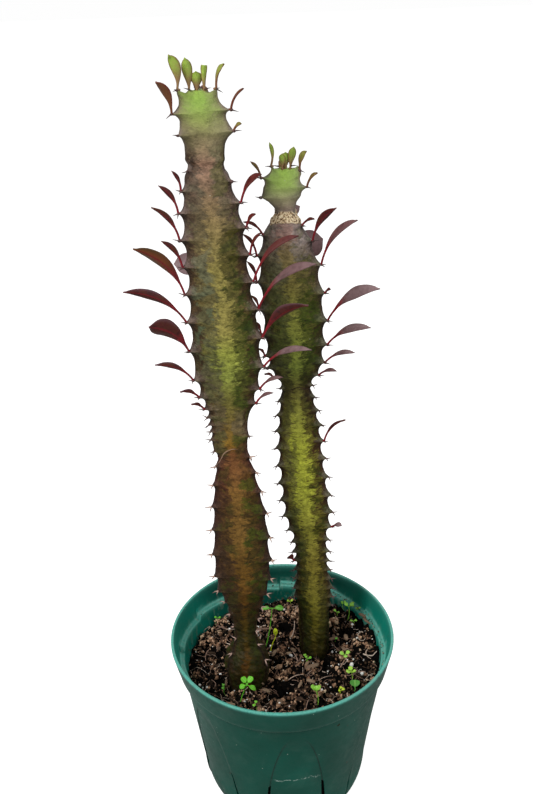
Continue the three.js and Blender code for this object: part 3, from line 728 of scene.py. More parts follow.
def makeSoilBed(material):
    columns, rings = soil["columns"], soil["rings"]
    turn = np.arange(columns) * 2 * math.pi / columns
    gap = soil["wallGap"]
    side = footArc(pot["wall"] + gap, pot["floor"] + gap, 6)
    side += [(outsideRadius(z) - pot["wall"] - gap, z) for z in np.arange(30, 80, 6.0)]
    rows = [np.stack([r * np.cos(turn), r * np.sin(turn), z + 0 * turn], -1) for r, z in side]
    for k in range(rings):
        inwards = soil["bedRadius"] * (1 - k / rings)
        x, y = inwards * np.cos(turn), inwards * np.sin(turn)
        height = soilHeight(x, y) + clods(x, y)
        spots = np.stack([x, y, height], -1)
        rough = 0.3 * waves(spots, 1.6, 7) + 0.2 * waves(spots, 0.9, 9)
        reach = fillRadius(height) if k == 0 else inwards
        rows.append(np.stack([reach * np.cos(turn), reach * np.sin(turn), height + rough - 0.5], -1))
    body = np.concatenate(rows)
    # painted shade: the bed shows only in the gaps between the crumbs and is nearly black
    tint = 0.06 + 0.08 * waves(body, 6, 8)
    piece = meshPiece("soil_bed", body, capped(len(rows), columns), material, {"tint": tint})
    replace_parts(piece, "soil")


def pebbleShapes(kinds, seed, rough, fineness=2):
    # unit pebbles of different outlines from one ball
    ball = bmesh.new()
    bmesh.ops.create_icosphere(ball, subdivisions=fineness, radius=1)
    points = np.array([v.co[:] for v in ball.verts])
    faces = [[v.index for v in face.verts] for face in ball.faces]
    ball.free()
    shapes = []
    for k in range(kinds):
        swell = 1 + rough * waves(points, 2.1, seed + k) + rough * 0.6 * waves(points, 1.0, seed + 50 + k)
        shapes.append(points * np.maximum(swell, 0.35)[:, None])
    return shapes, faces


def turned(rng):
    # a random rotation as a 3 by 3 array
    q = rng.normal(size=4)
    q /= np.linalg.norm(q)
    w, x, y, z = q
    return np.array([[1 - 2 * (y * y + z * z), 2 * (x * y - z * w), 2 * (x * z + y * w)],
                     [2 * (x * y + z * w), 1 - 2 * (x * x + z * z), 2 * (y * z - x * w)],
                     [2 * (x * z - y * w), 2 * (y * z + x * w), 1 - 2 * (x * x + y * y)]])


def clearOfStems(x, y, margin):
    return all(math.hypot(x - stemX, y - stemY) > radius + margin
               for stemX, stemY, radius in soil["stems"])


def spotOnSoil(rng, reach=54.6, margin=0.2):
    # hardly anything lies in the gaps between the clods
    while True:
        radius, azimuth = reach * math.sqrt(rng.uniform()), rng.uniform(0, 2 * math.pi)
        x, y = radius * math.cos(azimuth), radius * math.sin(azimuth)
        hollow = any(math.hypot(x - voidX, y - voidY) < size * 0.8
                     for voidX, voidY, _, size in soil["voids"])
        if clearOfStems(x, y, margin) and (not hollow or rng.uniform() < 0.25):
            return x, y


def scatterCrumbs(material):
    # thousands of crumbs all over the bed, some of them in clods and a few on the ledge
    rng = np.random.default_rng(11)
    coarse, coarseFaces = pebbleShapes(12, 100, 0.42)
    fine, fineFaces = pebbleShapes(12, 150, 0.38, 1)
    heap = Heap()

    def drop(x, y, z, size, tint):
        shapes, faces = (coarse, coarseFaces) if size > 0.95 else (fine, fineFaces)
        stretch = rng.uniform(0.7, 1.2, 3)
        shape = (shapes[int(rng.integers(len(shapes)))] * stretch * size) @ turned(rng).T
        heap.add(shape + [x, y, z], faces, tint=float(np.clip(tint, 0, 1)))

    for _ in range(soil["crumbs"]):
        x, y = spotOnSoil(rng)
        size = float(np.clip(rng.lognormal(-0.72, 0.45), 0.26, 1.7))
        ground = float(soilHeight(x, y) + clods(x, y))
        low = 0.13 * float(clods(x, y))  # painted shade, darker down in the gaps
        drop(x, y, ground + size * rng.uniform(-0.3, 0.5), size, rng.normal(0.33, 0.22) + low)
    # clods: crumbs stuck together in lumps that stand above the rest
    for _ in range(soil["clods"]):
        x, y = spotOnSoil(rng, 52, 1.5)
        # painted shade: clods that sit low in the gaps are darker
        reach, tint = rng.uniform(1.2, 2.8), rng.normal(0.46, 0.14) + 0.1 * float(clods(x, y))
        ground = float(soilHeight(x, y) + clods(x, y)) + reach * 0.3
        for _ in range(int(6 + reach * 7)):
            off = rng.normal(0, 0.5, 3) * reach * [1, 1, 0.6]
            if math.hypot(x + off[0], y + off[1]) < 54:
                drop(x + off[0], y + off[1], ground + abs(off[2]),
                     rng.uniform(0.3, 0.85), tint + rng.normal(0, 0.16))
    # crumbs caught on the ledge, most of them at the back and the right
    for _ in range(soil["ledgeBits"]):
        azimuth = math.radians(rng.normal(28, 38))
        radius = rng.uniform(56.9, 58.6)
        share = (azimuth / (2 * math.pi) * pot["ledgeRamps"]) % 1
        ledge = pot["ledgeLow"] + pot["ledgeSlope"] * (radius - 56.7) / 2.4 + pot["ledgeRise"] * share
        size = rng.uniform(0.15, 0.45)
        x, y = radius * math.cos(azimuth), radius * math.sin(azimuth)
        drop(x, y, ledge + size * 0.4, size, rng.uniform(0.2, 0.7))
    heap.piece("soil_crumbs", material, "soil_mix")


def scatterPerlite(material):
    rng = np.random.default_rng(12)
    shapes, faces = pebbleShapes(6, 200, 0.16)
    heap = Heap()
    for k in range(soil["perlite"]):
        x, y = spotOnSoil(rng)
        size = float(np.clip(rng.lognormal(-0.9, 0.45), 0.22, 1.3))
        shape = (shapes[k % len(shapes)] * rng.uniform(0.7, 1.2, 3) * size) @ turned(rng).T
        ground = float(soilHeight(x, y) + clods(x, y))
        heap.add(shape + [x, y, ground + 0.8 + size * 0.3], faces, tint=rng.uniform())
    heap.piece("soil_perlite", material, "soil_mix")


def scatterFibres(material):
    rng = np.random.default_rng(13)
    heap = Heap()
    for k in range(soil["fibres"] + soil["roots"]):
        x, y = spotOnSoil(rng)
        rooty = k >= soil["fibres"]
        length = rng.uniform(5, 13) if rooty else float(np.clip(rng.lognormal(1.25, 0.5), 1.5, 9))
        way = direction(rng.uniform(0, 360), rng.uniform(-5, 28))
        start = np.array([x, y, float(soilHeight(x, y) + clods(x, y)) + rng.uniform(0.6, 1.6)])
        path = curl(start, way, length, rng.normal(0, 55), rng.uniform(-50, 0), 10)
        ground = soilHeight(path[:, 0], path[:, 1]) + clods(path[:, 0], path[:, 1]) + 0.5
        path[:, 2] = np.maximum(path[:, 2], ground)
        keep = np.hypot(path[:, 0], path[:, 1]) < 55
        if keep.sum() < 4:
            continue
        path = path[keep]
        thick = rng.uniform(0.28, 0.5) if rooty else rng.uniform(0.09, 0.22)
        points, faces = tube(path, np.linspace(thick, thick * 0.5, len(path)), 5)
        heap.add(points, faces, tint=rng.uniform(0.35, 1))
    # the pale curled root at the right
    root = soil["curledRoot"]
    share = np.linspace(0, 1, 22)
    turn = np.radians(np.linspace(*root["arc"], len(share)))
    path = np.stack([np.cos(turn), np.sin(turn), np.sin(turn)], -1) * root["half"] + root["centre"]
    points, faces = tube(path, root["radius"] - 0.08 * share, 6)
    heap.add(points, faces, tint=1.35)
    heap.piece("soil_fibres", material, "soil_mix")


def scatterChips(material):
    rng = np.random.default_rng(14)
    shapes, faces = pebbleShapes(8, 300, 0.2)
    heap = Heap()
    placed = soil["placedChips"]
    for k in range(soil["chips"] + len(placed)):
        if k < len(placed):
            x, y, long, wide, azimuth, tint = placed[k]
            thick = 0.6
        else:
            x, y = spotOnSoil(rng, 53, 1.5)
            long, wide, thick = rng.uniform(1.4, 3.2), rng.uniform(0.7, 1.5), rng.uniform(0.25, 0.6)
            azimuth, tint = rng.uniform(0, 360), rng.uniform(0.25, 1.1)
        turn, tilt = math.radians(azimuth), math.radians(rng.normal(0, 16))
        cos, sin = math.cos(turn), math.sin(turn)
        lay = np.array([[cos, -sin, 0], [sin, cos, 0], [0, 0, 1]])
        cos, sin = math.cos(tilt), math.sin(tilt)
        lean = np.array([[1, 0, 0], [0, cos, -sin], [0, sin, cos]])
        flat = np.sign(shapes[k % len(shapes)]) * np.abs(shapes[k % len(shapes)]) ** 0.7
        shape = (flat * [long, wide, thick]) @ (lay @ lean).T
        heap.add(shape + [x, y, float(soilHeight(x, y) + max(0, clods(x, y))) + 1.1], faces, tint=tint)
    heap.piece("soil_bark", material, "soil_mix")


def soilMaterial(name, stops, size, depth, mottle):
    # stops: {tint: "#rrggbb"}; size is that of the mottling and depth that of the grain
    material, tree, shader = startMaterial(name, Roughness=0.92, Specular_IOR_Level=0.08)
    place = placeInMm(tree)
    field = useGroup(tree, blotches, {"Place": place, "Size": size, "Level": 0.5, "Softness": 0.2})["Field"]
    tint = calc(tree, "MULTIPLY_ADD", calc(tree, "SUBTRACT", field, 0.5), mottle, mask(tree, "tint"))
    colour = ramp(tree, tint, {share: paint(code) for share, code in stops.items()})
    # dark specks painted in as shade in small pits
    pitting = {"Place": place, "Spacing": size * 0.35, "Size": 0.3, "Share": 0.3}
    pitShade = useGroup(tree, specks, pitting)["Mask"]
    tree.links.new(tinge(tree, colour, pitShade, 0.5, "#120d0a"), shader.inputs["Base Color"])
    rough = grainHeight(tree, place, size * 0.4)
    bumpInto(tree, shader, rough, 0.7, depth)
    return material


crumbMaterial = soilMaterial("peat_crumb", {0: "#050403", 0.24: "#0f0b08", 0.42: "#463629", 0.62: "#8a6851",
                                            0.82: "#c49e80", 1: "#d6bc9c"}, 1.6, 0.3, 0.6)
fibreMaterial = soilMaterial("coir_fibre", {0: "#33261e", 0.5: "#6b5346", 0.8: "#9c7f70", 1: "#d6c2b0"},
                             1.2, 0.1, 0.3)
barkMaterial = soilMaterial("bark_chip", {0: "#1e1611", 0.4: "#47372c", 0.7: "#75604f", 0.93: "#978069",
                                          1: "#86634c"}, 1.4, 0.3, 0.4)
perliteMaterial = soilMaterial("perlite", {0: "#c9c4bb", 0.5: "#e6e3dc", 1: "#f6f4ef"}, 0.8, 0.15, 0.3)
makeSoilBed(crumbMaterial)
scatterCrumbs(crumbMaterial)
scatterPerlite(perliteMaterial)
scatterFibres(fibreMaterial)
scatterChips(barkMaterial)
print("soil made")


# the stems

ribs = {
    "back": {"azimuth": 90, "phase": 0.28},
    "left": {"azimuth": 210, "phase": 0},
    "right": {"azimuth": 330, "phase": 0.57},
}

tall = {
    "name": "tall_stem",
    "y": -13,
    "top": 405.8,
    "foot": 79,
    "skinTop": 403.3,
    "lastTooth": 108,
    "firstTooth": 403.3,
    "evenTurns": 3,  # of teeth at the top that sit level on all ribs
    "bare": (372, 384),  # heights of the neck, which has no teeth
    "missing": {"right": [(247.5, 260), (238, 243)]},
    # where the scallop under a tooth is deepest, as a share of the way down
    "deepest": [[110, 0.25], [225, 0.28], [262, 0.44], [380, 0.48], [404, 0.5]],
    # by height: the axis, the ribs' radius, and that of the faces' middles as a share of it
    "centre": [[110, -20], [190, -20], [214, -21], [230, -21.7], [240, -23.1], [250, -23], [260, -22.4],
               [290, -22.4], [320, -24], [360, -26.4], [372, -27.2], [379, -27.3], [387, -26.5],
               [395, -27.8], [404, -29.1]],
    "radius": [[48, 6], [70, 9.5], [84, 11.2], [97, 12.6], [104, 11.6], [109, 9.2], [114, 7], [119, 6.5],
               [125, 7], [133, 8.6], [144, 12], [156, 16.2], [172, 17.6], [200, 16.2], [222, 12.5],
               [233, 9.5], [240, 10.8], [246, 10.7], [251, 11.4], [257, 13], [262, 14.8], [270, 17.2],
               [284, 19.8], [304, 19.4], [322, 17.9], [345, 17.1], [358, 15.4], [365, 12.4], [369, 10.6],
               [371, 9], [373, 8.5], [374, 9], [375.3, 9.6], [377, 9.5], [381, 9.9], [384, 11.6],
               [387, 13.7], [392, 13.9], [394.5, 14.2], [396.5, 14.6], [398, 13.4], [400, 11.2],
               [403.3, 9.1], [405.8, 6]],
    "roundness": [[112, 0.97], [140, 0.8], [165, 0.66], [225, 0.68], [240, 0.8], [262, 0.66], [355, 0.68],
                  [372, 0.8], [388, 0.72], [394, 0.78], [396.5, 0.8], [398, 0.76], [401, 0.7],
                  [403.3, 0.6]],
    # how far one rib's teeth sit above or below the even turns
    "shifted": {"left": [[148, -3.8], [180, -5.2], [200, -5.2], [221, -3.4], [236, -1], [242, 0], [385, 0],
                         [388, -0.4], [394.5, 0.4], [403, 0]],
                "right": [[143, -3], [165, -1.5], [190, -2.4], [240, -0.5], [384, 0], [386, 1.2],
                          [395, 1.4], [403, 0]]},
    # how far the teeth stand out, and the spacing of their turns
    "rise": [[105, 0.5], [135, 1.0], [150, 1.9], [165, 2.2], [200, 2.2], [225, 1.8], [236, 1.6],
             [250, 1.7], [262, 2.8], [284, 3.1], [340, 3.3], [358, 3.2], [364, 2], [370, 0.5], [379, 0.5],
             [385, 2.2], [392, 3.4], [394.5, 4.2], [396.5, 5.3], [398, 4.2], [400, 2.4], [403.3, 1]],
    "pitch": [[150, 9.1], [184, 15.4], [210, 11.7], [236, 6.5], [250, 3.9], [266, 8], [284, 14.8],
              [318, 12.5], [350, 11.6], [364, 8.1], [380, 7.4], [404, 9.7]],
    # [turn of teeth, length, lift, width, roll, swing, grey bloom]
    "leaves": {
        "left": [
            [0, 13.9, 77, 4.7, 58, 0, 0], [1, 14.5, 64, 4.7, 30, 0, -0.4], [5, 9.6, 66, 1.8, 60, 0, 0],
            [6, 15.3, 57, 2.6, 58, 0, 0], [7, 20.2, 53, 2.8, 58, 0, 0], [8, 16.3, 55, 2.8, 60, -4, 0],
            [9, 34.5, 47, 6.4, 55, 4, -1], [10, 35, 34, 4.8, 62, -2, 0.5], [11, 26.5, 40, 10, 58, 6, 0.35],
            [12, 22.5, 33, 3.2, 62, 0, 0.7], [13, 11, 28, 3.2, 50, 0, 0.6], [14, 8, 32, 2.6, 40, 0, 0.1],
        ],
        "right": [
            [0, 10.4, 66, 2.8, 58, 0, 0.1], [1, 10.4, 52, 1.4, 50, 0, 0], [2, 4.8, 37, 2, 50, 0, 0.1],
            [5, 16.8, 50, 4.6, 50, 0, -0.3], [6, 8, 52, 2.6, 50, 0, 0], [7, 12.5, 58, 1.8, 60, -2, 0],
            [8, 34.5, 44, 4.8, 42, -5, 0.15], [9, 41, 39, 5.4, 42, -6, 0.75],
            [10, 32, 38, 7.5, -30, -5, 0.4], [11, 29.5, 27, 3.6, 42, -6, 0.9],
            [12, 15, 33, 2.2, 45, 0, 0.6], [13, 12, 37, 2, 50, 0, 0.6],
        ],
        "back": [
            [1, 11, 55, 3.6, 20, 0, 0], [5, 10, 60, 3.2, 20, 0, 0], [6, 15, 58, 5, -20, 4, 0.3],
            [7, 18, 55, 6, 25, -5, 0.4], [8, 26, 50, 7, -15, 6, 0.6], [9, 27, 16, 11, -60, 72, 1],
            [10, 30, 42, 8, 20, -4, 0.8], [11, 24, 36, 7, 15, 4, 0.5], [12, 19, 32, 5.6, 30, 0, 0.8],
            [13, 11, 34, 3.4, 0, 0, 0.5],
        ],
    },
    # [azimuth, reach from the axis, length, lift, width, roll, outline]
    "crown": [[206, 3.9, 13, 85, 4.5, 72, "young"], [262, 1.2, 7.6, 86, 5.2, 5, "young"],
              [322, 4, 9.9, 87, 2.8, -52, "blunt"], [130, 1.4, 4.6, 80, 3, 0, "young"]],
    "crownSeat": 0.9,
    # how the skin dips and rises from the last teeth to the middle of the crown
    "crownRise": {"rib": [[0, 0], [0.15, -0.4], [0.36, -1.4], [0.48, -0.9], [0.58, -0.2], [0.75, -0.4],
                          [1, -1.0]],
                  "face": [[0, 0], [0.3, 1.8], [0.55, 3.0], [0.75, 2.9], [1, 2.6]]},
    "faceDrop": 3.6,  # how much lower than the ribs the faces end
    "youngTurns": {0: 0.9, 1: 0.45, 2: 0.6},  # how young the leaves of the top turns are
    "knobbly": 140,  # the skin is knobbly below this
    "scar": {"height": 237.8, "bow": 8.5, "raised": 0.4},
    "cork": None,
}

short = {
    "name": "short_stem",
    "y": 12,
    "top": 369.6,
    "foot": 79,
    "skinTop": 367.1,
    "lastTooth": 122,
    "firstTooth": 367.1,
    "evenTurns": 0,
    "bare": (341, 352),
    "missing": {},
    "deepest": [[120, 0.4], [200, 0.46], [367, 0.5]],
    "centre": [[105, 19.2], [128, 18.6], [160, 17.4], [220, 12.4], [254, 10.9], [290, 9.9], [325, 7.5],
               [338, 6.6], [346, 7.2], [351, 6.2], [356, 5.4], [367, 7.0]],
    "radius": [[50, 5.5], [68, 7.8], [84, 8.6], [105, 9], [120, 11.6], [131, 12.6], [142, 11.6], [164, 12],
               [178, 15.1], [192, 15.9], [220, 15], [238, 13.6], [249, 11.4], [257, 9.5], [263, 12.4],
               [270, 16.5], [292, 19], [318, 18.3], [327, 16.8], [335, 13.2], [339, 9.5], [340.5, 8.3],
               [342.3, 6.9], [343.8, 5.3], [345.2, 4.6], [346.5, 4.7], [348.3, 5.8], [350.5, 7.9],
               [354, 11.8], [356, 12.5], [357.5, 13.2], [359.5, 12.4], [362.3, 12.2], [365, 7.9],
               [367.1, 7.3], [369.6, 6.4]],
    "roundness": [[100, 0.98], [125, 0.8], [175, 0.68], [240, 0.68], [253, 0.82], [268, 0.66], [325, 0.68],
                  [344, 0.96], [357, 0.74], [361, 0.76], [364, 0.72], [367.1, 0.62]],
    "shifted": {"left": [[150, 0], [175, -1], [205, -1.6], [245, -2], [280, -1], [300, -1.7], [330, -1.6],
                         [345, 0], [355, 0], [361, 2.0], [367, 0]],
                "right": [[150, -3.5], [190, -4], [220, -2.7], [245, -3.2], [265, -3.2], [280, -0.8],
                          [300, -0.5], [330, 0.8], [350, 0.5], [362, 2], [367, 0]]},
    "rise": [[100, 0.5], [120, 1.7], [150, 2.6], [200, 3.2], [240, 2.9], [257, 2.3], [270, 3], [290, 3.5],
             [328, 3.2], [340, 1.2], [346, 0.4], [353, 2.8], [357.5, 4.2], [359.5, 3.9], [362.3, 4.1],
             [364, 1.8], [365, 0.8], [367, 0.8]],
    "pitch": [[125, 6.3], [156, 6], [165, 8.6], [190, 10.4], [214, 10.8], [240, 8.9], [254, 6.7], [270, 6],
              [288, 13.5], [308, 13.6], [328, 11.8], [342, 4.3], [350, 7.2], [368, 6.4]],
    "leaves": {
        "left": [
            [0, 10.6, 86, 1.9, 62, 0, 0], [1, 9.4, 55, 1.6, 50, 0, 0], [5, 14.5, 34, 1.9, 50, 10, 0],
            [6, 14, 56, 1.9, 50, 10, 0], [7, 12.5, 64, 1.9, 50, 8, 0], [8, 9, 61, 1.8, 40, 8, 0],
            [9, 9.2, 61, 2.2, 40, 8, 0], [10, 5.5, 54, 2, 30, 0, 0], [12, 7, 31, 2.4, 40, 0, 0],
            [25, 5.4, 42, 4.8, 60, 0, 0],
        ],
        "right": [
            [0, 9.5, 68, 3.4, 62, 0, 0.1], [1, 8.6, 51, 2.2, 50, 0, 0], [4, 7.6, 29, 2.2, 40, 0, 0],
            [5, 21, 53, 4, -50, 0, 0], [6, 30, 51, 5.4, 40, 0, 0.45], [7, 3.4, 35, 2, 40, 0, 0],
            [8, 35, 36, 6.6, 48, 0, 1], [9, 26.5, 28, 4.6, 45, 0, 0.9], [10, 18.5, 26, 2.8, 45, 0, 0.8],
            [11, 11, 22, 2.4, 40, 0, 0.6], [16, 19.5, 51, 2.6, -40, 0, 0.1], [21, 6.5, 22, 3, 30, 0, 1],
        ],
        "back": [
            [1, 9, 58, 3, 20, 0, 0], [4, 6, 60, 2.5, 10, 20, 0.6], [5, 13, 48, 5, 60, -74, 1],
            [6, 24, 50, 7, 20, 6, 0.5], [7, 24, 33, 14, 60, -68, 0.8], [8, 30, 40, 8, 25, 5, 0.9],
            [9, 23, 34, 6.5, -15, 0, 0.6], [10, 16, 30, 4.4, 30, 0, 0.5], [11, 10, 28, 2.8, 0, 0, 0.5],
            [16, 14, 45, 3.4, 20, 0, 0.4],
        ],
    },
    "crown": [[240, 2.6, 7, 86, 3.2, 10, "young"], [285, 1.4, 7.6, 84, 5, -5, "young"],
              [318, 3.4, 10.4, 77, 3.6, -48, "young"], [130, 1.2, 4.6, 80, 2.8, 0, "young"]],
    "crownSeat": 1.8,
    "crownRise": {"rib": [[0, 0], [0.2, -0.9], [0.45, -1.1], [0.6, -1.0], [1, -1.9]],
                  "face": [[0, 0], [0.3, 1.2], [0.6, 2.0], [1, 1.7]]},
    "faceDrop": 3.6,
    "youngTurns": {0: 0.85, 1: 0.55},
    "knobbly": 125,
    "scar": {"height": 257.6, "bow": 2.6, "raised": -0.3},
    "cork": {"low": 340.4, "high": 344.0, "lowBow": 1.4, "highBow": 2.7, "raised": 0.5},
}

tooth = {
    "out": 0.45,  # how far the tips reach past the fitted radius
    "under": 0.62,  # how full the curve is just under a tip
    "over": 0.56,  # and just over the next one
    "tip": 5,  # half-width in degrees of the horny tip
    "keen": 8,  # of the pinched tooth
    "broad": 22,  # of the swelling behind it
    "shelf": 30,  # and of the shoulder that ends under it
    "keenShare": 0.55,  # of a tooth's height
    "broadShare": 0.45,
    "shelfShare": 0.2,
    "shelfFrom": 0.35,  # share of the way down where the shoulder starts to swell
    "blunt": 6,  # roundness of a rib's crest, in square degrees
    "steep": 2.2,  # how soon the skin falls from a rib to the face
    "halfFace": 60,  # degrees from a rib to the middle of a face
    "columns": 26,  # on each side of a rib
    "step": 0.45,  # between rings
    "crownRings": 15,
}


def turnHeights(stem):
    # heights of the turns of teeth, from the crown down
    heights = [stem["firstTooth"]]
    while heights[-1] > stem["lastTooth"]:
        here = heights[-1]
        heights.append(here - float(along(stem["pitch"], here - float(along(stem["pitch"], here)) / 2)))
    return heights


def teethOf(stem, rib):
    # {turn: height} of one rib's teeth
    heights = turnHeights(stem)
    teeth = {}
    for turn in range(len(heights) - 1):
        share = 0 if turn < stem["evenTurns"] else ribs[rib]["phase"]
        height = heights[turn] + (heights[turn + 1] - heights[turn]) * share
        if rib in stem["shifted"]:
            height += float(along(stem["shifted"][rib], height))
        gaps = [stem["bare"]] + stem["missing"].get(rib, [])
        if not any(low < height < high for low, high in gaps):
            teeth[turn] = height
    return teeth


def skinShape(stem, rib, height, offset):
    # radius, share of the way down between two teeth, and how much of a tip stands out there
    teeth = np.array(sorted(teethOf(stem, rib).values()))
    pitch = along(stem["pitch"], height)
    roundness = along(stem["roundness"], height)
    rise = along(stem["rise"], height)
    deepest = along(stem["deepest"], height)
    i = np.clip(np.searchsorted(teeth, height), 1, len(teeth) - 1)
    phase = (teeth[i] - height) / (teeth[i] - teeth[i - 1])
    overTop = 1 - np.minimum((height - teeth[-1]) / pitch, 1 - deepest)
    belowLast = np.minimum((teeth[0] - height) / pitch, deepest)
    phase = np.where(height > teeth[-1], overTop, np.where(height < teeth[0], belowLast, phase))
    near = np.where(phase < deepest, 1 - phase / deepest, (phase - deepest) / (1 - deepest))
    fullness = np.where(phase < deepest, tooth["under"], tooth["over"])
    stands = 1 - (1 - np.clip(near, 0, 1) ** 2) ** fullness
    away = np.abs(offset)
    blunt, crest = tooth["blunt"], math.sqrt(tooth["blunt"])
    soft = (np.sqrt(away ** 2 + blunt) - crest) / (math.sqrt(tooth["halfFace"] ** 2 + blunt) - crest)
    ribRadius = along(stem["radius"], height) + tooth["out"] * np.minimum(1, rise) - rise
    face = roundness * ribRadius
    radius = face + (ribRadius - face) * (1 - soft) ** tooth["steep"]
    keen = np.exp(-(away / tooth["keen"]) ** 1.3)
    broad = np.exp(-(away / tooth["broad"]) ** 2)
    shelf = np.exp(-(away / tooth["shelf"]) ** 2) * (1 - keen)
    swells = tooth["shelfFrom"]
    shoulder = np.where(phase > swells, smooth(swells, 1, phase), 1 - smooth(0, swells, phase))
    crossways = tooth["keenShare"] * keen + tooth["broadShare"] * broad
    radius = radius + rise * (stands * crossways + tooth["shelfShare"] * shoulder * shelf)
    return radius, phase, stands * np.exp(-(away / tooth["tip"]) ** 2), ribRadius


def ringHeights(stem):
    # even rings, and closer ones where a tooth has its tip
    tips = np.array(sorted(h for rib in ribs for h in teethOf(stem, rib).values()))
    heights = np.concatenate([np.arange(stem["foot"], stem["skinTop"], tooth["step"]),
                              tips - 0.2, tips, tips + 0.2, [stem["skinTop"]]])
    heights = np.unique(np.round(heights[heights <= stem["skinTop"]], 3))
    keep = np.concatenate([np.diff(heights) > 0.06, [True]])
    return heights[keep]


def makeSkin(stem, material):
    heights = ringHeights(stem)
    halfFace, crownRings = tooth["halfFace"], tooth["crownRings"]
    side = np.linspace(-1, 1, 2 * tooth["columns"], endpoint=False)
    offsets = halfFace * np.sign(side) * np.abs(side) ** 1.45  # closer together near the rib
    blocks, labels = [], {}
    for k, (rib, facts) in enumerate(ribs.items()):
        height, offset = np.meshgrid(heights, offsets, indexing="ij")
        radius, phase, tip, ribRadius = skinShape(stem, rib, height, offset)
        azimuth = np.radians(facts["azimuth"] + offset)
        left = np.tan(np.radians(halfFace - np.abs(offset))) / math.tan(math.radians(halfFace))
        across = np.where(offset >= 0, -left, left)
        values = {"faceShare": 1 - left, "across": across, "toothPhase": phase, "tip": tip,
                  "sideMm": across * ribRadius * 0.87, "faceId": 37.0 * np.where(offset >= 0, k + 1, k),
                  "ribShare": np.exp(-(offset / 16) ** 2)}
        for label, value in values.items():
            labels.setdefault(label, []).append(value + 0 * height)
        blocks.append(np.stack([radius * np.cos(azimuth), radius * np.sin(azimuth), height], -1))
    shell = np.concatenate(blocks, axis=1)
    masks = {label: np.concatenate(values, axis=1) for label, values in labels.items()}
    onRib = masks.pop("ribShare")
    # the faces end lower than the ribs
    nearTop = smooth(stem["skinTop"] - 9, stem["skinTop"], shell[..., 2])
    shell[..., 2] -= stem["faceDrop"] * (1 - onRib) * nearTop
    lump = 0.3 * waves(shell, 15, 21) + 0.1 * waves(shell, 4, 22) + 0.04 * waves(shell, 1.5, 23)
    lump *= smooth(0, 0.2, masks["faceShare"])
    # the old foot is knobbly
    knobs = 0.35 * waves(shell, 6, 28) + 0.22 * waves(shell, 2.6, 29)
    lump += knobs * smooth(stem["knobbly"], stem["knobbly"] - 25, shell[..., 2])
    # a scar sags across each face as a thin line
    scar = stem["scar"]
    sag = scar["bow"] * np.abs(masks["across"] - 0.12) ** 1.4 - 0.4 * waves(shell, 9, 24)
    line = np.exp(-((shell[..., 2] - scar["height"] + sag) / 0.32) ** 2)
    lump += scar["raised"] * line
    masks["scar"] = line
    masks["cork"] = 0 * line
    if stem["cork"]:
        cork = stem["cork"]
        bow = 1 - masks["across"] ** 2
        low = cork["low"] + cork["lowBow"] * bow + 0.25 * waves(shell, 4, 25)
        high = cork["high"] + cork["highBow"] * bow + 0.25 * waves(shell, 4, 26)
        inside = smooth(-0.25, 0.25, shell[..., 2] - low) * smooth(-0.25, 0.25, high - shell[..., 2])
        lump += inside * (cork["raised"] + 0.3 * waves(shell, 0.9, 27))
        masks["cork"] = inside
    out = shell[..., :2] / np.linalg.norm(shell[..., :2], axis=-1, keepdims=True)
    shell[..., :2] += out * lump[..., None]
    # the crown closes over the last teeth, with a dip behind each and the youngest teeth inside it
    crown, curves = [], stem["crownRise"]
    for share in np.linspace(0.06, 0.97, crownRings):
        rise = onRib[-1] * along(curves["rib"], share) + (1 - onRib[-1]) * along(curves["face"], share)
        crown.append(shell[-1] * [1 - share, 1 - share, 1] + np.stack([0 * rise, 0 * rise, rise], -1))
    shell = np.concatenate([shell, np.array(crown)])
    for label, value in masks.items():
        masks[label] = np.concatenate([value, np.repeat(value[-1:], crownRings, axis=0)])
    masks["tip"][1 - crownRings:] = 0
    shell[..., 0] += along(stem["centre"], shell[..., 2])
    shell[..., 1] += stem["y"]
    rows, columns = shell.shape[:2]
    masks = {label: value.ravel() for label, value in masks.items()}
    skinPlace = np.stack([masks.pop("sideMm"), shell[..., 2].ravel(), masks.pop("faceId")], -1)
    piece = meshPiece(stem["name"] + "_skin", shell.reshape(-1, 3), capped(rows, columns), material,
                      masks, {"skinPlace": skinPlace})
    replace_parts(piece, stem["name"])


def tipOf(stem, rib, height, lowered=0.0):
    # a point of the skin on a rib, moved inwards by lowered
    radius = float(skinShape(stem, rib, np.array(height), np.array(0.0))[0]) - lowered
    azimuth = math.radians(ribs[rib]["azimuth"])
    x = float(along(stem["centre"], height)) + radius * math.cos(azimuth)
    return np.array([x, stem["y"] + radius * math.sin(azimuth), height])


spines = {
    "length": 3.1,
    "radius": 0.33,
    "splay": 38,
    "tilt": -4,
    "sides": 6,
    "paleBelow": 232,  # the older teeth on the tall stem have pale spines with dark points
    "shield": (1.0, 0.75, 0.85),  # half sizes of the horny pad on a tip
    "smallBelow": 262,  # pads are smaller lower down
    "crown": {"azimuths": (215, 325, 90), "reach": 3.6, "splay": 48, "lift": 18},
}


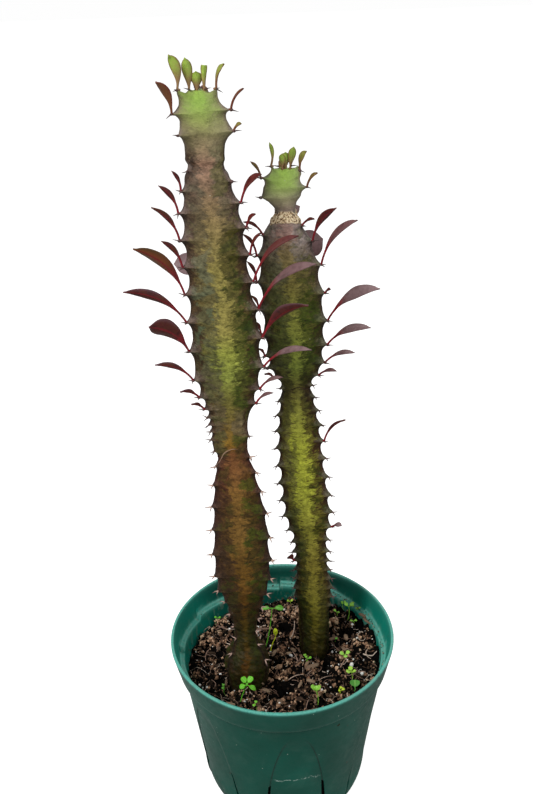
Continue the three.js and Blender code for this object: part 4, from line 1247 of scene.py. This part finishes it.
def makeSpines(stem, material):
    # a horny pad with a pair of spines on every tooth, and a third spine on some of the old ones
    rng = np.random.default_rng(31 if stem is tall else 32)
    shields, shieldFaces = pebbleShapes(5, 400, 0.2)
    heap = Heap()

    def prickle(start, azimuth, lift, length, pale):
        path = curl(start, direction(azimuth, lift), length, rng.normal(0, 12), rng.normal(-8, 10), 7)
        share = np.linspace(0, 1, 7)
        radii = spines["radius"] * (1 - share ** 1.4) * (1.15 if pale > 0.5 else 1) + 0.03
        points, faces = tube(path, radii, spines["sides"])
        heap.add(points, faces, along=np.repeat(share, spines["sides"]), pale=pale)

    for rib, facts in ribs.items():
        out = direction(facts["azimuth"], 0)
        turn = np.array([[out[0], -out[1], 0], [out[1], out[0], 0], [0, 0, 1]])
        for height in teethOf(stem, rib).values():
            old = stem is tall and height < spines["paleBelow"]
            pale = 0.85 if old else 0.1
            tip = tipOf(stem, rib, min(height, stem["skinTop"]), 0.45)
            small = 0.6 if height < spines["smallBelow"] else 0.8
            shape = shields[int(rng.integers(5))] * spines["shield"] * small * rng.uniform(0.8, 1.15)
            heap.add(shape @ turn.T + tip, shieldFaces, along=0.15, pale=pale * 0.6)
            reach = spines["length"] * (1.25 if old else 1)
            for side in (-1, 1):
                prickle(tip, facts["azimuth"] + side * spines["splay"] + rng.normal(0, 8),
                        spines["tilt"] + rng.normal(0, 12), reach * rng.uniform(0.75, 1.15), pale)
            if old and rng.uniform() < 0.6:
                azimuth, lift = facts["azimuth"] + rng.normal(0, 25), rng.uniform(-60, 50)
                prickle(tip, azimuth, lift, spines["length"] * 0.7, pale)
    # pairs at the youngest teeth of the growing tip
    crown = spines["crown"]
    centre = np.array([float(along(stem["centre"], stem["top"])), stem["y"], stem["skinTop"] - 0.3])
    for azimuth in crown["azimuths"]:
        base = centre + direction(azimuth, 0) * crown["reach"]
        for side in (-1, 1):
            lift = crown["lift"] + rng.normal(0, 6)
            prickle(base, azimuth + side * crown["splay"], lift, spines["length"], 0.1)
    heap.piece(stem["name"] + "_spines", material, "euphorbia_skin")


blade = {
    "steps": 26,
    "around": 20,  # points round a section
    "petiole": 0.5,
    "thickness": 0.4,
    "midrib": 0.25,
    "fold": 0.3,
    "bend": 27,
    "sunk": 1.5,
    "footLift": 12,  # the sunk foot of a leaf points into its tooth
    "axil": 0.08,  # share of the way from its tooth's tip to the hollow above
    "paddleFrom": 0.35,  # width over length from which a leaf is a paddle
    "ripeRight": 0.22,  # the topmost leaf of the right rib is riper than the others up there
}
# share of half the width along a blade
outlines = {
    "lance": [[0, 0.12], [0.14, 0.15], [0.3, 0.4], [0.48, 0.82], [0.63, 1], [0.8, 0.8], [0.92, 0.42],
              [1, 0.04]],
    "paddle": [[0, 0.1], [0.15, 0.14], [0.32, 0.44], [0.52, 0.82], [0.7, 1], [0.84, 0.82], [0.94, 0.4],
               [1, 0.04]],
    "young": [[0, 0.16], [0.15, 0.26], [0.3, 0.5], [0.5, 0.85], [0.66, 1], [0.8, 0.9], [0.92, 0.5],
              [1, 0.06]],
    "blunt": [[0, 0.3], [0.3, 0.5], [0.6, 0.78], [0.9, 1], [1, 0.9]],
    "round": [[0, 0.08], [0.22, 0.1], [0.38, 0.7], [0.6, 1], [0.82, 0.9], [0.95, 0.5], [1, 0.12]],
}


def makeBlade(base, azimuth, lift, length, width, roll, bend, sunk, outline, seed,
              petiole=blade["petiole"]):
    # a closed leaf with its stalk, which starts steeper than lift by bend and ends flatter by as much,
    # and whose foot goes into the stem by sunk
    rng = np.random.default_rng(seed)
    buried = np.linspace(-sunk, 0, 3, endpoint=False)
    travelled = np.concatenate([buried, np.linspace(0, length, blade["steps"])])
    share = np.clip(travelled / length, 0, 1)
    climb = np.where(travelled < 0, min(lift, blade["footLift"]), lift + bend * (1 - 2 * share))
    heading = direction(azimuth + rng.normal(0, 3) * share, climb)
    moves = (heading[1:] + heading[:-1]) / 2 * np.diff(travelled)[:, None]
    middle = np.vstack([[0, 0, 0], np.cumsum(moves, axis=0)]) + base - heading[0] * sunk
    facing = math.radians(azimuth)
    flat = np.stack([-math.sin(facing) + 0 * share, math.cos(facing) + 0 * share, 0 * share], -1)
    twist = np.radians(roll + rng.normal(0, 6) * share)[:, None]
    side = np.cos(twist) * flat + np.sin(twist) * np.cross(heading, flat)
    normal = np.cross(heading, side)
    half = np.maximum(along(outline, share) * width / 2, petiole * np.where(share < 0.9, 1, 0.2))
    leafy = smooth(petiole * 1.1, petiole * 2.2, half)
    turn = np.arange(blade["around"]) * 2 * math.pi / blade["around"]
    across, thickness = np.cos(turn)[None], np.sin(turn)[None]
    thick = petiole * (1 - leafy) + blade["thickness"] * leafy * (0.4 + 0.6 * smooth(1.02, 0.7, share))
    ridge = blade["midrib"] * leafy[:, None] * np.exp(-(across / 0.22) ** 2) * (thickness < 0)
    ridge = ridge * (1 - 0.6 * share[:, None])
    wavy = 0.07 * np.sin(share * rng.uniform(6, 11) + rng.uniform(0, 6))[:, None] * across
    folded = leafy[:, None] * half[:, None] * (blade["fold"] * np.abs(across) ** 1.4 + wavy)
    rise = folded + thick[:, None] * thickness - ridge
    points = middle[:, None] + side[:, None] * (half[:, None] * across)[..., None]
    points = points + normal[:, None] * rise[..., None]
    masks = {"along": (share[:, None] + 0 * across).ravel(),
             "across": (across + 0 * share[:, None]).ravel(),
             "upper": ((thickness > 0.01) + 0 * share[:, None]).ravel(),
             "leafy": (leafy[:, None] + 0 * across).ravel()}
    return points.reshape(-1, 3), capped(len(share), blade["around"]), masks


def makeLeaves(stem, material):
    # a leaf for each row of the stem's lists, at its tooth, and the young ones on the crown
    rng = np.random.default_rng(41 if stem is tall else 42)
    heap = Heap()
    stations = sorted(h for rib in ribs for h in teethOf(stem, rib).values())
    for rib, facts in ribs.items():
        teeth = teethOf(stem, rib)
        for turn, length, lift, width, roll, swing, bloom in stem["leaves"][rib]:
            height = min(teeth[turn], stem["skinTop"])
            above = min([h for h in stations if h > height + 0.5] + [height + 4])
            tip = tipOf(stem, rib, height)
            rise = float(along(stem["rise"], above))
            inner = tip - direction(facts["azimuth"], 0) * rise
            inner[2] = above
            base = tip + (inner - tip) * blade["axil"]
            young = stem["youngTurns"].get(turn, 0)
            if (rib, turn) == ("right", 0):
                young -= blade["ripeRight"]
            kind = "young" if young > 0.4 else "paddle" if width > blade["paddleFrom"] * length else "lance"
            points, faces, masks = makeBlade(base, facts["azimuth"] + swing, lift, length, width, roll,
                                             blade["bend"], blade["sunk"], outlines[kind],
                                             int(rng.integers(1e6)))
            heap.add(points, faces, **masks, young=young, tone=rng.uniform(), bloom=bloom)
    seat = stem["skinTop"] - stem["crownSeat"]
    centre = np.array([float(along(stem["centre"], stem["top"])), stem["y"], seat])
    for azimuth, reach, length, lift, width, roll, outline in stem["crown"]:
        base = centre + direction(azimuth, 0) * reach
        points, faces, masks = makeBlade(base, azimuth, lift, length, width, roll, 7, 1.0,
                                         outlines[outline], int(rng.integers(1e6)))
        heap.add(points, faces, **masks, young=rng.uniform(0.9, 1.1), tone=rng.uniform(), bloom=0.0)
    heap.piece(stem["name"] + "_leaves", material, "euphorbia_leaf")


def skinMaterial(name, looks):
    material, tree, shader = startMaterial(name, Specular_IOR_Level=0.14)
    spot = node(tree, "Attribute", attribute_name="skinPlace").outputs["Vector"]
    side, height, face = node(tree, "SeparateXYZ", {0: spot}).outputs
    faceShare, phase, across = mask(tree, "faceShare"), mask(tree, "toothPhase"), mask(tree, "across")
    # feathery streaks run outwards and slightly up from the middle of each face
    swept = calc(tree, "MULTIPLY_ADD", calc(tree, "ABSOLUTE", side), -0.35, height)

    def streaks(length, width, detail, layer):
        place = {0: calc(tree, "DIVIDE", side, length), 1: calc(tree, "DIVIDE", swept, width),
                 2: calc(tree, "ADD", face, layer)}
        return noise(tree, node(tree, "CombineXYZ", place).outputs[0], 1.0, detail, 0.62, 0.5)

    def offBy(*layers):
        # the share of the way from a rib to the middle of a face, pushed about by streaks
        total = None
        for field, amount in layers:
            part = calc(tree, "MULTIPLY", calc(tree, "SUBTRACT", field, 0.5), amount)
            total = part if total is None else calc(tree, "ADD", total, part)
        return calc(tree, "ADD", total, faceShare)

    wide, mid, fine = streaks(8, 5.5, 5, 0), streaks(3.4, 1.7, 4, 3), streaks(1.5, 0.6, 4, 7)
    clouds = streaks(7, 5.5, 5, 13)
    foot, top = 80, 410
    risen = remap(tree, height, foot, top, 0, 1)

    def byHeight(amounts):
        greys = {(place - foot) / (top - foot): amount for place, amount in amounts.items()}
        return node(tree, "SeparateColor", {0: ramp(tree, risen, greys)}).outputs[0]

    onRight = fade(tree, across, -0.15, 0.15)

    def bySide(left, right):
        # the two halves of a face have their own colours
        return blend(tree, onRight, heightRamp(tree, height, left), heightRamp(tree, height, right))

    start = byHeight(looks["bandStart"])
    flank = bySide(looks["leftFlank"], looks["rightFlank"])
    bandColour = heightRamp(tree, height, looks["band"])
    ribColour = heightRamp(tree, height, looks["rib"])
    # on old skin brown reaches in from the ribs, and a thin veil reaches out from the band to meet it
    old = fade(tree, height, looks["greenAbove"] + 4, looks["greenAbove"] - 12)
    brown = calc(tree, "MULTIPLY", fade(tree, offBy((clouds, 1.5), (mid, 0.6)), 0.5, 0.34), old)
    brownColour = blend(tree, 0.35, ribColour, paint("#4a3216"))
    colour = blend(tree, calc(tree, "MULTIPLY", brown, looks["brown"]), flank, brownColour)
    veilEdge = calc(tree, "SUBTRACT", offBy((clouds, -1.9), (mid, 0.9), (fine, 0.4)), start)
    veil = calc(tree, "MULTIPLY", fade(tree, veilEdge, -0.36, -0.2), looks["veil"])
    colour = blend(tree, veil, colour, blend(tree, 0.35, bandColour, ribColour))
    # the edge of the band is ragged on old skin and blurred on the green crown
    spread = remap(tree, old, 0, 1, 0.34, 0.035)
    edge = calc(tree, "SUBTRACT", offBy((wide, 1.0), (mid, 0.6), (fine, 0.4)), start)
    band = fade(tree, calc(tree, "DIVIDE", edge, spread), -1, 1.3)
    colour = blend(tree, calc(tree, "MULTIPLY", band, 0.92), colour, bandColour)
    # patches and short dashes of the darker colours lie over it
    patches = {"Place": spot, "Size": looks["patchSize"], "Level": 0.54, "Softness": 0.02}
    patched = useGroup(tree, blotches, patches)["Mask"]
    patched = calc(tree, "MULTIPLY", patched, fade(tree, offBy((mid, 0.5)), 1.0, 0.75))
    patched = calc(tree, "MULTIPLY", calc(tree, "MULTIPLY", patched, old), looks["patchy"])
    colour = blend(tree, patched, colour, bySide(looks["leftPatch"], looks["rightPatch"]))
    dashes = fade(tree, streaks(2.4, 0.75, 2, 21), 0.55, 0.63)
    dashes = calc(tree, "MULTIPLY", dashes, fade(tree, faceShare, 1.02, 0.8))
    dashes = calc(tree, "MULTIPLY", calc(tree, "MULTIPLY", dashes, old), looks["dashes"])
    colour = blend(tree, dashes, colour, blend(tree, 0.5, flank, ribColour))
    # ribs, a painted grey highlight on the shoulder over each tooth and painted shade in the hollow under
    # it
    colour = blend(tree, fade(tree, offBy((fine, 0.3), (clouds, 0.3)), 0.27, 0.03), colour, ribColour)
    above = calc(tree, "MULTIPLY_ADD", calc(tree, "SUBTRACT", fine, 0.5), 0.7, phase)
    above = calc(tree, "MULTIPLY", fade(tree, above, 0.6, 0.9), fade(tree, above, 1.1, 0.94))
    shoulder = calc(tree, "MULTIPLY", above, fade(tree, offBy((mid, 0.5)), 0.5, 0.06))
    colour = tinge(tree, colour, shoulder, byHeight(looks["shoulder"]), looks["shoulderHighlightColour"])
    # painted shade in the hollow under each tooth
    below = calc(tree, "ADD", phase, calc(tree, "MULTIPLY", calc(tree, "SUBTRACT", mid, 0.5), 0.8))
    under = calc(tree, "MULTIPLY", fade(tree, below, 0.5, 0.1), fade(tree, offBy((mid, 0.4)), 0.42, 0.05))
    under = calc(tree, "MULTIPLY", under, looks["under"])
    colour = tinge(tree, colour, under, remap(tree, old, 0, 1, 0.3, 1), "#22160e")
    # value mottling, thin lines and pale pinpricks
    mottle = noise(tree, spot, 0.55, 6, 0.72, 0.4)
    mottled = remap(tree, old, 0, 1, 0.2, looks["mottle"])
    colour = blend(tree, mottled, colour, ramp(tree, mottle, {0.34: 0.14, 0.66: 0.86}), "OVERLAY")
    colour = tinge(tree, colour, fade(tree, streaks(3.5, 0.45, 3, 31), 0.6, 0.7), 0.2, "#1d150d")
    pricks = useGroup(tree, specks, {"Place": spot, "Spacing": 2.8, "Size": 0.09, "Share": 0.2})["Mask"]
    colour = tinge(tree, colour, pricks, 0.45, "#c3bda6")
    # the horny tips, the scar and the cork
    colour = blend(tree, fade(tree, mask(tree, "tip"), 0.5, 0.9), colour, paint(looks["tip"]))
    scarred = calc(tree, "MULTIPLY", fade(tree, mask(tree, "scar"), 0.3, 0.8), fade(tree, mid, 0.3, 0.45))
    scarColour = blend(tree, fade(tree, across, 0.05, 0.4), paint(looks["scar"]), paint("#3a2620"))
    colour = blend(tree, calc(tree, "MULTIPLY", scarred, 0.85), colour, scarColour)
    if looks["cork"]:
        crust = noise(tree, placeInMm(tree), 1.1, 3, 0.6)
        bits = ramp(tree, crust, {0.38: paint("#3a2a20"), 0.46: paint("#c9a67c"), 0.6: paint(looks["cork"]),
                                  0.8: paint("#fff2d8")})
        colour = blend(tree, mask(tree, "cork"), colour, bits)
    tree.links.new(colour, shader.inputs["Base Color"])
    worn = grainHeight(tree, spot, 2.2)
    feed(tree, shader.inputs["Roughness"], remap(tree, worn, 0.4, 1, 0.4, 0.6))
    pores = grainHeight(tree, spot, 0.7)
    bumpInto(tree, shader, calc(tree, "MULTIPLY_ADD", fine, 1.2, pores), 0.8, 0.35)
    return material


# how each stem is coloured; the tables from numbers to colours or amounts go by height
tallLooks = {
    "greenAbove": 384,
    "mottle": 0.75,
    "veil": 0.35,
    "brown": 0.85,
    "patchSize": 9,
    "patchy": 0.75,
    "leftPatch": {84: "#2a2c0c", 140: "#332f12", 165: "#3a3a12", 225: "#4c3a18", 240: "#4e4a26",
                  265: "#5a5634", 300: "#4e5a40", 340: "#62604a", 366: "#5c5240", 384: "#766c4a"},
    "rightPatch": {84: "#2c300a", 140: "#303408", 165: "#3b450f", 215: "#41480e", 232: "#46460f",
                   255: "#465018", 300: "#30400e", 330: "#383e10", 355: "#5c5832", 384: "#6a6440"},
    "bandStart": {80: 0.95, 130: 0.9, 150: 0.86, 165: 0.8, 210: 0.76, 235: 0.74, 250: 0.84, 275: 0.8,
                  320: 0.8, 350: 0.82, 368: 0.78, 380: 0.8, 390: 0.72, 397: 0.55, 408: 0.45},
    "band": {84: "#38240a", 104: "#4a2e0c", 118: "#45360e", 130: "#4a380f", 145: "#593a12", 165: "#664818",
             190: "#745626", 212: "#765626", 226: "#744c28", 235: "#724828", 241: "#866420",
             250: "#6c582a", 265: "#767034", 278: "#868e3e", 290: "#90943f", 300: "#928846",
             330: "#8c8044", 350: "#85724a", 366: "#846a54", 374: "#8e6e5a", 384: "#9a8c66",
             391: "#96a058", 398: "#8cab4c", 406: "#92b24a"},
    "leftFlank": {84: "#1c180a", 112: "#2a280c", 140: "#2a2010", 165: "#382718", 200: "#382612",
                  226: "#4c2a1a", 240: "#443824", 262: "#62563f", 290: "#4a4b30", 320: "#5c5538",
                  340: "#665a3c", 350: "#584f38", 368: "#574c3e", 376: "#43352a", 381: "#5e543c",
                  390: "#817b55", 405: "#7c814f"},
    "rightFlank": {84: "#181a06", 112: "#2a2c08", 140: "#28220c", 165: "#33300e", 205: "#362c0a",
                   226: "#5c3e1a", 240: "#4e4420", 250: "#76684a", 262: "#3e3c16", 290: "#38400f",
                   320: "#34360e", 345: "#454014", 368: "#7a6a58", 378: "#70684c", 390: "#908c64",
                   405: "#868e56"},
    "rib": {84: "#161208", 140: "#281610", 165: "#2c1a14", 200: "#331c16", 230: "#401f1a", 255: "#352418",
            290: "#382816", 330: "#402e22", 350: "#52443e", 366: "#584a42", 373: "#2a1b14", 377: "#3a2a20",
            382: "#64594c", 390: "#766c58", 400: "#7e765a", 406: "#828058"},
    # how strong the painted highlight over each tooth and the painted shade under it are
    "shoulder": {80: 0, 236: 0.15, 275: 0.6, 410: 0.6},
    "shoulderHighlightColour": "#807069",
    "under": 0.8,
    "dashes": 0.5,
    "tip": "#33201d",
    "scar": "#b09078",
    "cork": None,
}
shortLooks = {
    "greenAbove": 350,
    "mottle": 0.75,
    "veil": 0.4,
    "brown": 0.6,
    "patchSize": 8,
    "patchy": 0.7,
    "leftPatch": {80: "#2c300c", 130: "#3e4416", 180: "#525628", 230: "#64642f", 257: "#4a4a20",
                  290: "#4c5626", 325: "#6a6850", 350: "#8a8474"},
    "rightPatch": {80: "#26280a", 130: "#34380a", 180: "#363c0a", 230: "#3a400a", 257: "#34340e",
                   290: "#36480e", 325: "#4c4c1c", 350: "#8c8474"},
    "bandStart": {80: 0.95, 105: 0.9, 120: 0.82, 140: 0.76, 180: 0.7, 230: 0.66, 252: 0.8, 270: 0.82,
                  300: 0.84, 330: 0.75, 345: 0.6, 356: 0.55, 370: 0.4},
    "band": {80: "#3a2e0e", 95: "#4a4014", 110: "#665e1e", 125: "#827a2c", 150: "#8c8032", 175: "#9a963a",
             200: "#a8ac3a", 225: "#a8ac3a", 245: "#9c9c42", 257: "#6c6630", 270: "#7e8a38",
             295: "#86883a", 315: "#867a40", 330: "#84724c", 337: "#9c7a70", 347: "#9a867a",
             353: "#a8a47a", 359: "#a4c060", 368: "#a8d058"},
    "leftFlank": {80: "#1c1c08", 110: "#262a0c", 150: "#3c421a", 180: "#4b4c26", 215: "#605c34",
                  245: "#706a38", 257: "#3a3418", 270: "#464a28", 300: "#50552a", 320: "#5e5c3a",
                  335: "#8c8278", 348: "#968a7c", 358: "#98a26c", 368: "#9cb868"},
    "rightFlank": {80: "#1e1c08", 110: "#484214", 128: "#48421a", 150: "#463e12", 190: "#3c2c0e",
                   225: "#3e2c0f", 257: "#32280e", 270: "#30380a", 300: "#384406", 320: "#46441a",
                   335: "#aa9c96", 348: "#94867a", 358: "#90966a", 368: "#9cb468"},
    "rib": {80: "#1a1106", 110: "#221a08", 140: "#30200f", 180: "#382219", 220: "#402419", 257: "#2e2012",
            290: "#342418", 320: "#58483c", 335: "#6c5e5c", 350: "#807468", 360: "#8c8268",
            368: "#98906a"},
    # how strong the painted highlight over each tooth and the painted shade under it are
    "shoulder": {80: 0.1, 130: 0.3, 160: 0.65, 410: 0.65},
    "shoulderHighlightColour": "#7d7c66",
    "under": 0.75,
    "dashes": 0.95,
    "tip": "#33201d",
    "scar": "#2a2014",
    "cork": "#fff0cc",
}


def spineMaterial():
    material, tree, shader = startMaterial("spine_horn", Roughness=0.45)
    share, pale = mask(tree, "along"), mask(tree, "pale")
    dark = ramp(tree, share, {0: paint("#55302c"), 0.4: paint("#3b2226"), 1: paint("#1e1416")})
    light = ramp(tree, share, {0: paint("#c9a996"), 0.45: paint("#b59688"), 0.75: paint("#5d4440"),
                               1: paint("#2a1c1c")})
    streak = noise(tree, placeInMm(tree), 1.3, 3)
    colour = blend(tree, pale, dark, light)
    tree.links.new(blend(tree, 0.5, colour, ramp(tree, streak, {0.3: 0.35, 0.7: 0.6}), "OVERLAY"),
                   shader.inputs["Base Color"])
    bumpInto(tree, shader, streak, 0.3, 0.1)
    return material


def leafMaterial():
    material, tree, shader = startMaterial("red_spatula_leaf", Specular_IOR_Level=0.22)
    place = placeInMm(tree)
    share, upper, leafy = mask(tree, "along"), mask(tree, "upper"), mask(tree, "leafy")
    young, tone, bloom = mask(tree, "young"), mask(tree, "tone"), mask(tree, "bloom")
    sideways = calc(tree, "ABSOLUTE", mask(tree, "across"))
    margin, vein = fade(tree, sideways, 0.6, 0.95), fade(tree, sideways, 0.2, 0.02)
    cloud = noise(tree, place, 0.35, 3, 0.6)
    # the underside is dark red, rusty or olive towards the end, with a red vein
    under = ramp(tree, cloud, {0.3: paint("#3a1313"), 0.5: paint("#541e1a"), 0.72: paint("#4e2c16")})
    rusty = calc(tree, "MULTIPLY", fade(tree, bloom, 0.0, -0.8), fade(tree, share, 0.2, 0.6))
    under = tinge(tree, under, rusty, 0.75, "#7e4320")
    olive = fade(tree, calc(tree, "SUBTRACT", tone, bloom), 0.5, 1.2)
    olive = calc(tree, "MULTIPLY", olive, fade(tree, share, 0.3, 0.8))
    rimmed = calc(tree, "MULTIPLY", olive, fade(tree, sideways, 0.25, 0.8))
    under = tinge(tree, under, rimmed, 0.8, "#4b3a1c")
    under = tinge(tree, under, vein, 0.85, "#7e1c27")
    # the upper side has a mauve grey bloom, with pale specks and a browner margin
    over = ramp(tree, cloud, {0.3: paint("#604a4a"), 0.55: paint("#7a6263"), 0.75: paint("#6c5454")})
    over = tinge(tree, over, fade(tree, share, 0.6, 1.0), 0.4, "#987f81")
    over = tinge(tree, over, margin, 0.4, "#4d2f30")
    flecks = useGroup(tree, specks, {"Place": place, "Spacing": 0.9, "Size": 0.22, "Share": 0.45})["Mask"]
    over = tinge(tree, over, flecks, 0.35, "#b9a3a8")
    bare = ramp(tree, cloud, {0.3: paint("#481513"), 0.6: paint("#5e231c"), 0.75: paint("#58281a")})
    over = blend(tree, calc(tree, "MULTIPLY", bloom, fade(tree, share, 0.1, 0.55)), bare, over)
    # on bloomed leaves the raised margin of the underside is grey too
    greyed = calc(tree, "MULTIPLY", calc(tree, "MULTIPLY", margin, bloom), fade(tree, share, 0.3, 0.7))
    under = blend(tree, greyed, under, paint("#6f5660"))
    old = blend(tree, upper, under, over)
    stalk = ramp(tree, cloud, {0.3: paint("#5c1018"), 0.6: paint("#8a1826")})
    old = blend(tree, calc(tree, "MULTIPLY", fade(tree, share, 0.5, 0.2), 0.95), old, stalk)
    # leaves of the crown: green with red margins and a pinkish foot
    green = ramp(tree, cloud, {0.3: paint("#869c3e"), 0.6: paint("#9cb64c"), 0.8: paint("#a8a658")})
    green = tinge(tree, green, margin, 0.75, "#7c4a36")
    green = tinge(tree, green, fade(tree, share, 0.78, 0.2), 0.85, "#8c5f4c")
    turning = blend(tree, margin, paint("#6a4228"), paint("#6b2f24"))
    fresh = blend(tree, fade(tree, young, 0.45, 0.85), turning, green)
    colour = blend(tree, fade(tree, young, 0.05, 0.5), old, fresh)
    tree.links.new(colour, shader.inputs["Base Color"])
    feed(tree, shader.inputs["Roughness"], remap(tree, cloud, 0.3, 0.7, 0.36, 0.52))
    waved = {"Vector": place, "Scale": 0.25, "Distortion": 6.0, "Detail": 2.0}
    ribbed = node(tree, "TexWave", waved).outputs["Fac"]
    pores = grainHeight(tree, place, 0.6)
    uneven = calc(tree, "MULTIPLY_ADD", ribbed, 0.3, calc(tree, "MULTIPLY", pores, leafy))
    bumpInto(tree, shader, uneven, 0.35, 0.15)
    return material


leafSkin = leafMaterial()
horn = spineMaterial()
for stem, looks in ((tall, tallLooks), (short, shortLooks)):
    makeSkin(stem, skinMaterial(stem["name"] + "_skin", looks))
    makeSpines(stem, horn)
    makeLeaves(stem, leafSkin)
    print(stem["name"], "made")


# volunteer seedlings

# blades: azimuth, length, lift, width
seedlings = {
    "seedling_clover": {"foot": (-24.6, -31.4), "top": (-20.2, -31.4, 98), "hue": 0.42,
                        "blades": [(140, 4.8, 36, 3.6), (40, 5, 34, 3.6), (200, 4.4, -18, 3.8),
                                   (335, 5.6, -28, 3.6)]},
    "seedling_two_leaf": {"foot": (-9.6, 15.3), "top": (-5.3, 15.3, 111.5), "hue": 0.3,
                          "blades": [(180, 6.2, -4, 3.8), (0, 6.8, -6, 4.2)]},
    "seedling_bud": {"foot": (-7.2, 9.4), "top": (-3.7, 9.4, 95), "hue": 0.95,
                     "blades": [(95, 6, 82, 2.6), (275, 5.4, 78, 2.4)]},
    "seedling_front": {"foot": (18.4, -32.4), "top": (17.6, -32.4, 92.4), "hue": 0.65,
                       "blades": [(165, 4.6, 48, 3.2), (20, 4.2, 52, 2.8), (75, 3.4, 68, 2.6)]},
    "seedling_round_leaf": {"foot": (39.6, -27.6), "top": (39.6, -25.6, 86.4), "hue": 0.12,
                            "blades": [(85, 5.6, 20, 5.6)]},
    "seedling_cluster": {"foot": (38.6, -17.6), "top": (38.2, -17.6, 91.4), "hue": 0.75,
                         "blades": [(200, 3.4, 25, 2.8), (100, 3.4, 35, 2.6), (340, 3.2, 30, 2.6)]},
    "seedling_side": {"foot": (36.4, 0), "top": (36.6, 0, 88.2), "hue": 0.7,
                      "blades": [(170, 3.6, 20, 2.8), (30, 3.4, 24, 2.6), (270, 3, 12, 2.6)]},
    "seedling_back": {"foot": (41, 30), "top": (41.6, 31, 98), "hue": 0.6,
                      "blades": [(150, 3.4, 30, 3), (20, 3.6, 22, 3)]},
}
# the tiniest sprouts: x, y, height of the leaves over the soil, blades, hue
sprouts = [(13.6, 0.3, 2, 2, 0.6), (15, -0.6, 1.6, 2, 0.5), (33.9, 34.3, 2, 2, 0.7),
           (39.4, 38.9, 3, 3, 0.6), (44.8, 35.4, 3, 2, 0.75), (47, 32.7, 2, 2, 0.7),
           (43.6, 23.7, 2, 2, 0.7), (32.5, 15.3, 1.5, 1, 0.4), (6.4, 50, 2, 2, 0.8),
           (-40.5, 35, 4, 2, 0.35), (-33.8, -18.9, 2, 1, 0.2), (-32.6, -22.8, 2, 1, 0.2),
           (-15.9, -36.5, 3, 2, 0.5), (32, -27, 1.6, 2, 0.9), (30.6, -25.3, 1.4, 1, 0.9)]


def growSeedling(heap, foot, top, blades, hue, seed, stalk=0.32):
    # a thin stalk, bowed to one side, with its blades at the top
    foot = np.array([*foot, float(soilHeight(*foot)) - 1.5])
    top = np.array(top, float)
    share = np.linspace(0, 1, 10)[:, None]
    path = foot + (top - foot) * share
    path[:, 0] += 0.6 * np.sin(share[:, 0] * math.pi) * (-1) ** seed
    points, faces = tube(path, np.linspace(stalk, stalk * 0.75, 10), 8)
    heap.add(points, faces, along=0.0, across=0.0, upper=1.0, leafy=0.0, hue=hue)
    for k, (azimuth, length, lift, width) in enumerate(blades):
        points, faces, masks = makeBlade(top - [0, 0, 0.1], azimuth, lift, length, width, 0, 8, 0.3,
                                         outlines["round"], seed * 10 + k, 0.22)
        heap.add(points, faces, **masks, hue=hue)


def seedlingMaterial():
    material, tree, shader = startMaterial("seedling_leaf", Roughness=0.5, Specular_IOR_Level=0.35)
    place = placeInMm(tree)
    fresh = ramp(tree, mask(tree, "hue"), {0: paint("#3f8a4a"), 0.15: paint("#4f8f2c"),
                                           0.4: paint("#62b92a"), 0.7: paint("#95cb4a"),
                                           0.95: paint("#c2cf22")})
    cloud = noise(tree, place, 0.6, 3)
    colour = blend(tree, 0.6, fresh, ramp(tree, cloud, {0.3: 0.38, 0.7: 0.62}), "OVERLAY")
    sideways = calc(tree, "ABSOLUTE", mask(tree, "across"))
    vein = calc(tree, "MULTIPLY", fade(tree, sideways, 0.14, 0.02), mask(tree, "leafy"))
    colour = tinge(tree, colour, vein, 0.4, "#b5e07a")
    tree.links.new(colour, shader.inputs["Base Color"])
    bumpInto(tree, shader, grainHeight(tree, place, 0.5), 0.3, 0.1)
    return material


def makeSeedlings():
    material = seedlingMaterial()
    for k, (name, plant) in enumerate(seedlings.items()):
        heap = Heap()
        growSeedling(heap, plant["foot"], plant["top"], plant["blades"], plant["hue"], k + 1)
        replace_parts(heap.piece(name + "_leaves", material, "seedling_green"), name)
    rng = np.random.default_rng(51)
    heap = Heap()
    for k, (x, y, rise, count, hue) in enumerate(sprouts):
        top = (x + rng.normal(0, 0.4), y, float(soilHeight(x, y)) + 1 + rise)
        start = rng.uniform(0, 360)
        blades = [(start + 360 / count * n, rng.uniform(1.6, 2.4), rng.uniform(5, 40),
                   rng.uniform(1.4, 2.0)) for n in range(count)]
        growSeedling(heap, (x, y), top, blades, hue, 20 + k, 0.2)
    heap.piece("tiny_sprouts", material, "seedling_green")


makeSeedlings()
print("seedlings made")
